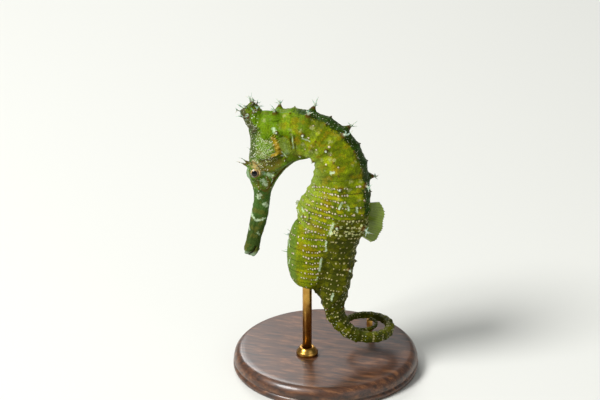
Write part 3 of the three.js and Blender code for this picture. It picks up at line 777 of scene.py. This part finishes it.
band = ease(z, 41.2, 41.6) * (1 - 0.45 * ease(z, 42.3, 43.3)) * (1 - ease(z, 44.0, 47.5))
nape_shade = 0.5 * painted((2.6, [(-4.6, 68.8), (-1.6, 67.4)]))
crown_front = ease(points @ np.array(CROWN_AHEAD) + 29.5, -0.8, 0.8)
spokes = np.arctan2(z - GILL_PIVOT[1], x - GILL_PIVOT[0])
# Painted shade: the grooves between the rings are painted darker, more so from the fifth ring down.
groove = np.exp(-((0.5 - np.abs(ring % 1 - 0.5)) / 0.05) ** 2) * trunk

# Marks on the skin, each a number for every point of it. A coat of colour starts at one number and is full at
# another.
marks = {
    "round": girdle * 4 / pitch,
    "rows": ring * 4,
    "wart_share": wart_share,
    "speck_share": speck_share,
    "lace": lace * ease(z, 56, 59) * (1 - ease(z, 65, 69)),
    "fleck_share": trunk * (1 - ease(ring, 8, 10)) * 0.5 * (turn > 0.6),
    "band": band * (brown > -0.5) * (1 - pouch_part),
    "light": ease(broad, -0.1, 0.7) * trunk,
    "deep": np.maximum(ease(-broad, -0.1, 0.7), nape_shade),
    "golden": ease(patchy, -0.1, 0.6) * trunk,
    "green": ease(-x, -5, 8) * ease(z, 56, 63) * (1 - 0.6 * ease(x, -9, -6) * ease(patchy, -0.4, 0.3)),
    "jaw": face * (1 - ease(z, 57.5, 61)),
    "mottle": face * ease(clouds(0.6, 120), 0.0, 0.4),
    "forehead": forehead,
    "pouch": pouch_part,
    "dull": 3 * (brown > 0),
    "bars": ease(off_row, 0.42, 0.8) * ease(ring, 7.0, 8.2) * ease(patchy, -0.3, 0.15) * (brown < 0.3),
    # The belly side of the trunk is paler: partly the skin's own paler belly, partly painted light that
    # brightens the chest side.
    "front": ease(turn, 1.7, 2.7) * trunk * (1 - pouch_part),
    "pouch_front": pouch_front,
    "brown": brown,
    "tan": (brown > 0) * ease(clouds(0.45, 80), -0.1, 0.3),
    "back": back + 0.25 * broad * (back > 0),
    "reef": back * ease(clouds(0.7, 60), 0.0, 0.5),
    "snout": snout,
    "snout_low": snout * (1 - ease(z, 38, 47)),
    "crown": crown_part * np.maximum(crown_front, ease(z, 71.5, 72.5)),
    "groove": groove * (0.25 + 0.75 * ease(ring, 5, 8)),
    "crests": face * (oval(points, *GILL_COVER) < 1.0) * ease(x, -12.6, -11.0) * np.cos(34 * spokes),
    "tip": tip,
    "orange": painted(
        (0.85, [(-8.8, 65.3), (-7.9, 63.4), (-7.3, 61.8)]), (0.4, [(-7.4, 61.6), (-9.1, 60.7)])),
    "russet": painted(
        (1.4, [(-11.2, 57.9), (-7.4, 59.0)]), (1.1, [(-11.6, 56.6), (-8.8, 57.2)]),
        (0.5, [(-13.2, 54.0), (-13.0, 51.2), (-11.4, 50.2), (-10.2, 51.9), (-10.9, 54.3)]),
        (0.4, [(-9.9, 52.6), (-8.2, 54.9), (-6.9, 56.4)])),
    # Dark strokes: the two lines down the neck are the skin's own; those under the gill cover, along the edge
    # of the gill membrane and in the mouth's gape are painted shade.
    "dark": painted(
        (0.4, [(-6.9, 61.1), (-9.3, 60.0), (-11.0, 59.1), (-12.4, 58.3)]), (0.22, GAPE),
        (0.22, [(-3.6, 66.5), (-3.4, 62.0)]), (0.22, [(-4.6, 65.6), (-4.5, 62.4)]),
        (0.3, [(-10.2, 51.6), (-8.9, 53.9), (-6.4, 57.0), (-4.2, 58.9)])),
    "blush": painted((1.25, [(-14.2, 57.6), (-13.2, 57.3)]), (0.75, [(-12.9, 56.4), (-12.4, 55.6)])),
    "amber": painted(
        (1.1, [(-3.0, 64.3), (-3.1, 65.3)]), (2.0, [(0.6, 43.4), (3.4, 42.4)]),
        (1.2, [(6.6, 58.2), (8.8, 59.1)]), (1.5, [(4.5, 52.0), (5.5, 49.5)]),
        (1.5, [(-1.5, 37.5), (1.5, 36.5)])),
    "milk": painted(
        (0.9, [(-15.6, 55.5), (-15.1, 53.6)]), (1.3, [(-17.0, 32.0), (-14.0, 31.8)]),
        (0.8, [(-6.3, 63.6), (-5.6, 61.6)]), (0.7, [(-11.8, 55.9), (-11.5, 55.2)])),
    # Pale strokes: the skin's own white streaks, and on the pouch small painted highlights of wet skin.
    "chalk": painted(
        (0.85, [(-11.9, 53.3), (-11.5, 52.2)]), (0.68, [(-10.5, 55.3), (-9.9, 54.3), (-9.3, 55.2)]),
        (0.8, [(-12.9, 49.0), (-13.4, 48.3)]), (0.75, [(-11.9, 46.4), (-11.6, 45.7)]),
        (0.6, [(-16.1, 44.4), (-15.3, 42.7)]), (0.48, [(-15.3, 42.7), (-14.0, 41.7), (-12.0, 42.2)]),
        (0.3, [(-15.2, 47.2), (-15.2, 46.0)]), (0.4, [(-16.3, 39.4), (-16.1, 38.6)]),
        (0.4, [(-13.8, 38.2), (-13.5, 37.5)]), (0.8, [(-8.9, 67.3), (-8.5, 66.9)]),
        (0.25, [(-6.9, 61.8), (-5.6, 60.3)]), (0.2, [(-4.1, 66.0), (-4.0, 62.6)]),
        (0.4, [(-1.3, 66.0), (0.4, 65.5)]), (0.5, [(6.1, 57.9), (6.8, 58.2)]),
        (0.42, [(9.1, 50.8), (8.4, 49.0)]), (0.5, [(7.0, 44.9), (5.9, 41.8)]),
        (0.33, [(4.8, 39.4), (4.6, 36.3)]), (0.36, [(3.6, 34.5), (3.1, 31.0)]),
        (0.3, [(2.5, 29.0), (2.3, 28.2)]), (0.4, [(6.4, 24.6), (5.9, 22.5)]),
        (0.45, [(-1.9, 46.9), (-1.3, 46.4)]), (0.35, [(-3.2, 45.8), (-2.8, 45.2)]),
        (0.4, [(10.5, 49.6), (10.6, 48.6)]), (0.4, [(12.5, 49.1), (12.6, 48.2)]),
        (0.28, [(-5.6, 37.6), (-5.1, 35.9)]), (0.25, [(-5.0, 32.6), (-5.3, 31.2)]))}


def keep(piece, name, rows):
    """Keeps three numbers for every point of the piece, which its material reads."""
    kept = piece.data.attributes.new(name, "FLOAT_VECTOR", "POINT")
    kept.data.foreach_set("vector", np.array(rows, dtype=float).ravel())


def read_back(tree, name):
    """The three numbers that keep() kept by that name."""
    kept = add_node(tree, "Attribute", {"attribute_name": name})
    return add_node(tree, "SeparateXYZ", {0: kept.outputs["Vector"]}).outputs


# Living skin over bone, wet: golden green, mottled, with pale warts, a brown tail and a banded snout. It is
# satin with a thin wet film, and light goes a little way into it.
hide, tree = bare_material("wet_seahorse_skin")
where = add_node(tree, "TexCoord", {}).outputs["Object"]
in_mm = add_node(tree, "VectorMath", {"operation": "SCALE", 0: where, "Scale": 1000.0})
read = {}
for first in range(0, len(marks), 3):
    trio = list(marks)[first:first + 3]
    keep(skin, "_".join(trio), np.transpose([marks[name] for name in trio]))
    read.update(zip(trio, read_back(tree, "_".join(trio))))
ragged = add_node(tree, "TexNoise", {"Vector": in_mm, "Scale": 1.5, "Detail": 4, "Roughness": 0.6})
pebble = add_node(tree, "TexNoise", {"Vector": in_mm, "Scale": 3.6, "Detail": 3})
grit = add_node(tree, "TexVoronoi", {"Vector": in_mm, "Scale": 3.6}).outputs["Distance"]
tear = add_node(tree, "Math", {"operation": "MULTIPLY_ADD", 0: ragged, 1: 2.2, 2: -1.75})
tear = add_node(tree, "Math", {"operation": "MULTIPLY_ADD", 0: pebble, 1: 1.3, 2: tear})
# The seats of the warts and dots are shaken out of their even places by the colours of the noise.
grid = add_node(tree, "CombineXYZ", {0: read["round"], 1: read["rows"]})
shaken, swirled, grid = (
    add_node(tree, "VectorMath", {"operation": "MULTIPLY_ADD", 0: by.outputs["Color"], 1: how_far, 2: even})
    for by, how_far, even in ((pebble, (0.32, 0.32, 0.32), in_mm), (ragged, (1.6, 1.6, 1.6), in_mm),
                              (pebble, (0.22, 0.22, 0), grid)))


def dots(cells, share, least, more):
    """Dots in a pattern's cells, above 1 inside and below 1 outside: that share of them, no two one size."""
    luck = add_node(tree, "SeparateColor", {0: cells.outputs["Color"]})
    size = add_node(tree, "Math", {"operation": "MULTIPLY_ADD", 0: luck.outputs[0], 1: more, 2: least})
    inside = add_node(tree, "Math", {"operation": "SUBTRACT", 0: size, 1: cells.outputs["Distance"]})
    there = add_node(tree, "Math", {"operation": "GREATER_THAN", 0: share, 1: luck.outputs[1]})
    return add_node(tree, "Math", {"operation": "ADD", 0: inside, 1: there})


# Warts stand in rows, two rows to a ring: every second row of cells is used, and some warts are missing.
seats = add_node(tree, "TexVoronoi", {
    "Vector": grid, "voronoi_dimensions": "2D", "Scale": 1.0, "Randomness": 0.55})
seat = add_node(tree, "SeparateXYZ", {0: seats.outputs["Position"]})
row = add_node(tree, "Math", {"operation": "FLOORED_MODULO", 0: seat.outputs["Y"], 1: 2.0})
row = add_node(tree, "Math", {"operation": "LESS_THAN", 0: row, 1: 1.0})
row = add_node(tree, "Math", {"operation": "MULTIPLY", 0: row, 1: read["wart_share"]})
read["warts"] = dots(seats, row, 0.16, 0.2)
read["dull_warts"] = add_node(tree, "Math", {"operation": "MINIMUM", 0: read["warts"], 1: read["dull"]})
# Smaller dots: their places, how many to a millimetre, the share that is there, their least size and how
# much more it may be.
for name, places, per_mm, share, least, more in (
        ("specks", shaken, 2.5, "speck_share", 0.16, 0.2), ("flecks", swirled, 0.6, "fleck_share", 0.1, 0.2),
        ("sand", shaken, 2.3, "orange", 0.2, 0.22), ("band_dots", shaken, 1.35, "band", 0.26, 0.18)):
    cells = add_node(tree, "TexVoronoi", {"Vector": places, "Scale": per_mm})
    read[name] = dots(cells, read[share], least, more)
read["glints"] = add_node(tree, "Math", {"operation": "MULTIPLY_ADD", 0: pebble, 1: -0.8, 2: grit})
read["grit"] = grit
vein = add_node(tree, "Math", {"operation": "SUBTRACT", 0: ragged, 1: 0.5})
vein = add_node(tree, "Math", {"operation": "ABSOLUTE", 0: vein})
read["veins"] = add_node(tree, "Math", {"operation": "MULTIPLY_ADD", 0: vein, 1: -36.0, 2: read["lace"]})

# Each coat: mark, how ragged its edge is, where it starts and is full, its strength and its colour.
COATS = [
    ("deep", 0, 0, 1, 0.8, "#4b5400"), ("light", 0.1, 0, 1, 0.9, "#a0ae0a"),
    ("golden", 0.15, 0, 1, 0.65, "#8f7a00"), ("glints", 0, -0.2, -0.42, 0.4, "#b4b228"),
    ("bars", 0.4, 0, 1, 0.78, "#a8a800"), ("pouch", 0, 0.3, 0.9, 0.3, "#5e6a00"),
    ("green", 0, 0, 1, 0.8, "#5e8604"), ("jaw", 0, 0, 1, 0.85, "#52781e"),
    ("snout", 0, 0.1, 0.9, 0.85, "#3f6028"), ("snout_low", 0.5, 0, 1, 0.65, "#2e3a10"),
    ("mottle", 0.4, 0, 1, 0.55, "#6a6624"), ("forehead", 0.7, 0, 1, 0.75, "#434e2c"),
    ("amber", 0.5, 0, 1, 0.6, "#8e7006"), ("flecks", 0, 0.8, 1.1, 0.6, "#adb070"),
    # Painted shade: the coat down the middle of the back.
    ("back", 0.55, 0.3, 0.7, 0.92, "#123602"), ("reef", 0.8, 0.2, 0.9, 0.4, "#3d6c34"),
    # Partly painted light: the paler belly side of the trunk.
    ("front", 0, 0, 1, 0.65, "#8fa63a"), ("pouch_front", 0.2, 0, 1, 0.75, "#62802c"),
    ("brown", 1.3, -0.5, 0.7, 1.0, "#3b3f00"), ("tan", 0.4, 0.2, 1, 0.8, "#5f6000"),
    # Painted shade: the coat in the grooves between the rings.
    ("groove", 0.3, 0.3, 1, 0.7, "#272b02"), ("crown", 0.4, 0.2, 0.8, 0.85, "#4b4730"),
    ("grit", 0, 0.3, 0.6, 0.4, "#2a3202"), ("crests", 0.6, 0.4, 1.2, 0.5, "#a8a878"),
    ("veins", 0, 0.1, 0.6, 0.62, "#c0cf9c"), ("milk", 0.6, 0.0, 0.9, 0.5, "#9db79a"),
    # Partly painted shade: the dark strokes under the gill cover, along the gill membrane and in the gape.
    ("russet", 0.7, 0.0, 0.8, 0.62, "#5e420e"), ("dark", 0.5, -0.1, 0.7, 0.7, "#321a06"),
    ("orange", 1.1, -0.1, 0.6, 0.8, "#94760e"), ("sand", 0, 0.96, 1.08, 0.85, "#d3b45c"),
    ("blush", 0.9, 0.0, 1.1, 0.7, "#d2ae72"), ("warts", 0, 0.76, 0.96, 0.6, "#3a2408"),
    ("warts", 0, 0.95, 1.06, 0.9, "#d0c4a8"), ("dull_warts", 0, 0.95, 1.06, 0.75, "#96944a"),
    ("specks", 0, 0.94, 1.06, 0.9, "#dcdfc4"), ("band_dots", 0, 0.85, 1.05, 0.85, "#c6c988"),
    # Partly painted highlights: the pale strokes on the pouch.
    ("chalk", 1.2, 0.1, 0.9, 0.8, "#bacda8"), ("tip", 0, 0.1, 0.4, 0.7, "#4c260a"),
    ("tip", 0, 0.5, 0.85, 0.9, "#b7c6ae")]
colour = paint("#6b7c00")
for mark, how_ragged, *coat in COATS:
    mask = read[mark]
    if how_ragged:
        mask = add_node(tree, "Math", {"operation": "MULTIPLY_ADD", 0: tear, 1: how_ragged, 2: mask})
    colour = paint_over(tree, colour, [(mask, *coat)])

pebbled = add_node(tree, "Math", {"operation": "SUBTRACT", 0: pebble, 1: grit})
pebble_bump = add_node(tree, "Bump", {"Height": pebbled, "Strength": 0.45, "Distance": 0.0001})
raised = add_node(tree, "Math", {"operation": "MAXIMUM", 0: read["warts"], 1: read["specks"]})
raised = add_node(tree, "Math", {"operation": "MAXIMUM", 0: raised, 1: read["band_dots"]})
raised = add_node(tree, "MapRange", {"Value": raised, "From Min": 0.9, "From Max": 1.1})
dot_bump = add_node(tree, "Bump", {
    "Height": raised, "Normal": pebble_bump, "Strength": 0.7, "Distance": 0.00014})
film = add_node(tree, "MapRange", {
    "Value": pebble, "From Min": 0.3, "From Max": 0.7, "To Min": 0.42, "To Max": 0.62})
flesh = add_node(tree, "BsdfPrincipled", {
    "Base Color": colour, "Roughness": film, "Normal": dot_bump, "IOR": 1.4, "Specular IOR Level": 0.11,
    "Subsurface Weight": 0.08, "Subsurface Radius": (1.0, 0.8, 0.3), "Subsurface Scale": 0.0005})
add_node(tree, "OutputMaterial", {"Surface": flesh})

complete(skin, hide, "skin", "mouth", "snout", "head", "coronet", "neck", "trunk_upper", "trunk_middle",
         "trunk_lower", "brood_pouch", *(f"tail_{number}" for number in range(1, 8)))

# ------------------------------------------------------------------------------------------ skin threads
# Soft threads of skin that grow from the longest thorns, the brow, the crown and the pouch's front. They are
# dark at the foot and pale towards the end.
thread, tree = bare_material("thread_of_skin")
up_thread = read_back(tree, "up_thread")["X"]
where = add_node(tree, "TexCoord", {}).outputs["Object"]
speckle = add_node(tree, "TexNoise", {"Vector": where, "Scale": 2600, "Detail": 2})
thread_colour = paint_over(tree, paint("#4f4b32"), [
    (up_thread, 0.0, 0.6, 0.9, "#9dc0a8"), (speckle, 0.52, 0.6, 0.7, "#d3d6bc")])
thread_skin = add_node(tree, "BsdfPrincipled", {
    "Base Color": thread_colour, "Roughness": 0.45, "IOR": 1.4,
    "Subsurface Weight": 0.2, "Subsurface Scale": 0.0004})
add_node(tree, "OutputMaterial", {"Surface": thread_skin})

THREADS_ON_THORN, THORN_THREAD = 8, 0.16           # how many, and how thick
THREADS_ON_CROWN_POINT, CROWN_THREAD = 7, 0.13
BROW_THREAD, POUCH_THREAD = 0.12, 0.14
POUCH_THREADS = [        # aside, height, length
    (-1.2, 38.9, 1.9), (-0.7, 38.3, 1.3), (1.1, 38.7, 1.6), (-1.0, 33.9, 1.6), (0.9, 33.4, 1.3)]
strand_mesh = mesh_from(stem(6), "strand")
strands = bmesh.new()
strand_ups = []          # how far up its thread each point is


def put_strand(foot, way, length, thick):
    """A thread from its foot, that way, thinning towards its end and curling a little."""
    way = Vector(way).normalized()
    aside = way.orthogonal().normalized()
    across = way.cross(aside)
    curl = Vector(chance.normal(0, 0.3, 3)) * length
    seen = len(strands.verts)
    strands.from_mesh(strand_mesh)
    strands.verts.ensure_lookup_table()
    for v in strands.verts[seen:]:
        up = v.co.z
        strand_ups.append(up)
        around = (aside * v.co.x + across * v.co.y) * thick * (1 - 0.75 * up)
        v.co = Vector(foot) + way * (up * length - 0.15) + curl * up * up + around


for end, out, ahead in long_tips:
    for _ in range(THREADS_ON_THORN):
        way = out + ahead * chance.normal(0, 0.9) + Vector(chance.normal(0, 0.5, 3))
        put_strand(end - out * 0.5, way, 0.7 + 1.0 * chance.random(), THORN_THREAD)
for end, out, length in face_tips:
    put_strand(end - out * 0.3, out + Vector((0, 0, 0.25)), 0.35 * length, BROW_THREAD)
for end, out in crown_tips:
    for _ in range(THREADS_ON_CROWN_POINT):
        foot = end - out * (0.1 + 1.2 * chance.random())
        way = out * 0.7 + CROWN_UP * 0.5 + Vector(chance.normal(0, 0.6, 3))
        put_strand(foot, way, 0.6 + 0.8 * chance.random(), CROWN_THREAD)
for aside, height, length in POUCH_THREADS:
    near = points[(np.hypot(y - aside, z - height) < 0.4) & (x > -8)]
    put_strand(near[near[:, 0].argmin()], (-1, 0.3 * aside, 0.1), length, POUCH_THREAD)
bmesh.ops.scale(strands, vec=(MM, MM, MM), verts=strands.verts)
bmesh.ops.recalc_face_normals(strands, faces=strands.faces)
threads = piece_from(strands, "skin_threads", thread, "skin")
keep(threads, "up_thread", [(up, 0, 0) for up in strand_ups])

# -------------------------------------------------------------------------------------------------- eyes
# Each eye is a ball in a turret of skin: a small black pupil with a thin gold edge, and a coppery iris that
# is pale above and bluish below, as the skin round it is. It is under a clear wet cornea.
eye_glass, tree = bare_material("wet_eye")
away, above, below_ahead = read_back(tree, "on_eye")
where = add_node(tree, "TexCoord", {}).outputs["Object"]
mottle = add_node(tree, "TexNoise", {"Vector": where, "Scale": 2200, "Detail": 3})
iris = paint_over(tree, paint("#5a4020"), [
    (above, -0.05, 0.3, 0.9, "#b59a66"), (below_ahead, 0.2, 0.55, 0.85, "#8a9c8c"),
    (mottle, 0.48, 0.62, 0.6, "#4a3a20"), (above, 0.3, 0.55, 0.6, "#d6c79c"),
    (away, 0.275, 0.25, 0.6, "#b99a58"), (away, 0.245, 0.235, 1.0, "#040404")])
eye_shine = add_node(tree, "BsdfPrincipled", {
    "Base Color": iris, "Roughness": 0.2, "IOR": 1.38, "Specular IOR Level": 0.2,
    "Coat Weight": 0.5, "Coat Roughness": 0.02})
add_node(tree, "OutputMaterial", {"Surface": eye_shine})

CORNEA_BULGE, CORNEA_EDGE = 0.12, 40               # the edge in degrees from the middle of the pupil
for name, eye_centre, look in zip(("left", "right"), EYE_CENTRES, LOOKS):
    ball = bmesh.new()
    bmesh.ops.create_uvsphere(ball, u_segments=64, v_segments=48, radius=EYE_RADIUS)
    degrees = [math.degrees(math.acos(max(-1, min(1, v.co.z / EYE_RADIUS)))) for v in ball.verts]
    for v, from_pupil in zip(ball.verts, degrees):
        if from_pupil < CORNEA_EDGE:
            v.co.z += CORNEA_BULGE * max(0, math.cos(math.radians(from_pupil * 2.2)))
    face_out = Vector(look).to_track_quat("Z", "Y").to_matrix().to_4x4()
    bmesh.ops.transform(ball, matrix=face_out, verts=ball.verts)
    ways = [v.co.normalized() for v in ball.verts]
    bmesh.ops.transform(ball, matrix=Matrix.Scale(MM, 4) @ Matrix.Translation(eye_centre), verts=ball.verts)
    eye = piece_from(ball, f"eyeball_{name}", eye_glass, "eye", f"eye_{name}")
    keep(eye, "on_eye", [(from_pupil / 90, way.z - 0.5 * way.x - 0.25, -way.z - way.x + 0.1)
                         for from_pupil, way in zip(degrees, ways)])

# -------------------------------------------------------------------------------------------------- fins
# Thin webs, olive and a little clear, held by fine rays: one on the back, one behind each gill and a tiny one
# before the pouch.
FIN_HALF_THICK, RAY_HALF_THICK = 0.02, 0.07
web, tree = bare_material("fin_web")
ray_part, pale_part, solid_part = read_back(tree, "on_fin")
web_colour = paint_over(tree, paint("#84982e"), [
    (ray_part, 0.2, 0.9, 0.7, "#4f5f1c"), (pale_part, 0.4, 0.9, 0.75, "#c6cf86")])
web_shine = add_node(tree, "BsdfPrincipled", {
    "Base Color": web_colour, "Alpha": solid_part, "Roughness": 0.5, "IOR": 1.36, "Specular IOR Level": 0.25})
add_node(tree, "OutputMaterial", {"Surface": web_shine})


def rayed_fin(name, root, along_root, outward, root_width, outer_width, length, rays, clear, node_name):
    """A fan of rays with a web between them; sizes in mm. It waves slightly across its flat, has pale dots on
    its rays and a pale front edge, and its web is more or less clear."""
    along_root, outward = Vector(along_root).normalized(), Vector(outward).normalized()
    flat_way = along_root.cross(outward)
    fin = bmesh.new()
    bmesh.ops.create_grid(fin, x_segments=rays * 6, y_segments=22, size=0.5)
    bmesh.ops.solidify(fin, geom=fin.verts[:] + fin.edges[:] + fin.faces[:], thickness=0.01)
    facts = []
    for v in fin.verts:
        u, w, face_side = v.co.x * 2, v.co.y + 0.5, 1 if v.co.z > 0.002 else -1
        ray = (abs((u * 0.5 + 0.5) * (rays - 1) % 1 - 0.5) * 2) ** 4
        long = w * length * (1 - 0.2 * u * u - 0.25 * u**6) * (0.93 + 0.07 * ray + 0.03 * math.sin(u * 9))
        across = u * (root_width + (outer_width - root_width) * w) / 2
        half = FIN_HALF_THICK + RAY_HALF_THICK * ray * (1 - 0.7 * w)
        wave = (0.3 * math.sin(w * 2.6 + u * 3.1) + 0.12 * math.sin(u * 11)) * w
        v.co = (Vector(root) + along_root * across + outward * (long - 0.5)
                + flat_way * (half * face_side + wave))
        pale = max(ray * (0.5 + 0.5 * math.cos(w * 40 + 9 * u)) * (w > 0.2), float(ease(u, 0.88, 0.98)))
        facts.append((ray, pale, 1 - clear * (1 - 0.8 * ray) * (0.6 + 0.4 * w)))
    bmesh.ops.recalc_face_normals(fin, faces=fin.faces)
    bmesh.ops.scale(fin, vec=(MM, MM, MM), verts=fin.verts)
    keep(piece_from(fin, name, web, "fin", node_name), "on_fin", facts)


DORSAL_RINGS = (9.0, 11.8)
ANAL_RING = 10.1
dorsal_top, dorsal_end = (on_line(s, line)[0] + on_line(s, backward)[0] * (depth_at(s, True) - 0.3)
                          for s in map(down_to, DORSAL_RINGS))
dorsal_along = dorsal_end - dorsal_top
rayed_fin("dorsal_fin_web", (dorsal_top + dorsal_end) / 2, dorsal_along, np.cross(dorsal_along, (0, 1, 0)),
          np.linalg.norm(dorsal_along), 11.5, 5.1, 18, 0.05, "dorsal_fin")
for name, sign in (("left", -1), ("right", 1)):
    swing = 0.3 * sign
    rayed_fin(f"pectoral_fin_web_{name}", (-6.9, 4.2 * sign, 64.2), (0, 0, 1),
              (math.cos(swing), math.sin(swing), -0.12), 2.6, 4.4, 3.9, 15, 0.72, f"pectoral_fin_{name}")
s = down_to(ANAL_RING)
anal_root = on_line(s, line)[0] - on_line(s, backward)[0] * (depth_at(s, False) - 0.1)
rayed_fin("anal_fin_web", anal_root, (-0.3, 0, 0.95), (-0.95, 0, -0.3), 0.9, 1.2, 1.3, 4, 0.5, "anal_fin")

# ------------------------------------------------------------------------------- floor, light and camera
# A pale seamless floor, a large soft lamp at the upper left, a fill at the right and a rim lamp behind.
floor_form = bmesh.new()
bmesh.ops.create_grid(floor_form, x_segments=1, y_segments=1, size=3.0)
floor = put_in_scene("studio_floor", mesh_from(floor_form, "studio_floor"))
paper, tree = bare_material("pale_paper")
matt = add_node(tree, "BsdfPrincipled", {"Base Color": paint("#dcdcd6"), "Roughness": 0.9})
add_node(tree, "OutputMaterial", {"Surface": matt})
floor.data.materials.append(paper)

AIM = Vector((-0.00319, 0.00032, 0.04767))
LAMP_AWAY = 1.05
for name, way, power, wide in (("key", (-0.6, -0.62, 0.85), 14.5, 0.42), ("fill", (0.9, -0.7, 0.3), 1.6, 0.8),
                               ("rim", (-0.5, 0.9, 0.7), 4.0, 0.45)):
    lamp = bpy.data.lights.new(name, "AREA")
    lamp.energy = power
    lamp.shape = "DISK"
    lamp.size = wide
    shine = put_in_scene(name, lamp)
    shine.location = AIM + Vector(way).normalized() * LAMP_AWAY
    shine.rotation_euler = Vector(way).to_track_quat("Z", "Y").to_euler()

world = bpy.data.worlds.new("studio")
world.use_nodes = True
sky = world.node_tree.nodes["Background"].inputs
sky["Color"].default_value = paint("#e8ecec")
sky["Strength"].default_value = 0.3
bpy.context.scene.world = world
bpy.context.scene.view_settings.view_transform = "Standard"

CAMERA_WAY = Vector((0.2382, -0.8891, 0.3907))
CAMERA_AWAY = 0.5
camera_data = bpy.data.cameras.new("camera")
camera_data.sensor_width = 36
camera_data.lens = 120
camera_data.clip_start = 0.01
camera = put_in_scene("camera", camera_data)
camera.location = AIM + CAMERA_AWAY * CAMERA_WAY
camera.rotation_euler = CAMERA_WAY.to_track_quat("Z", "Y").to_euler()
bpy.context.scene.camera = camera
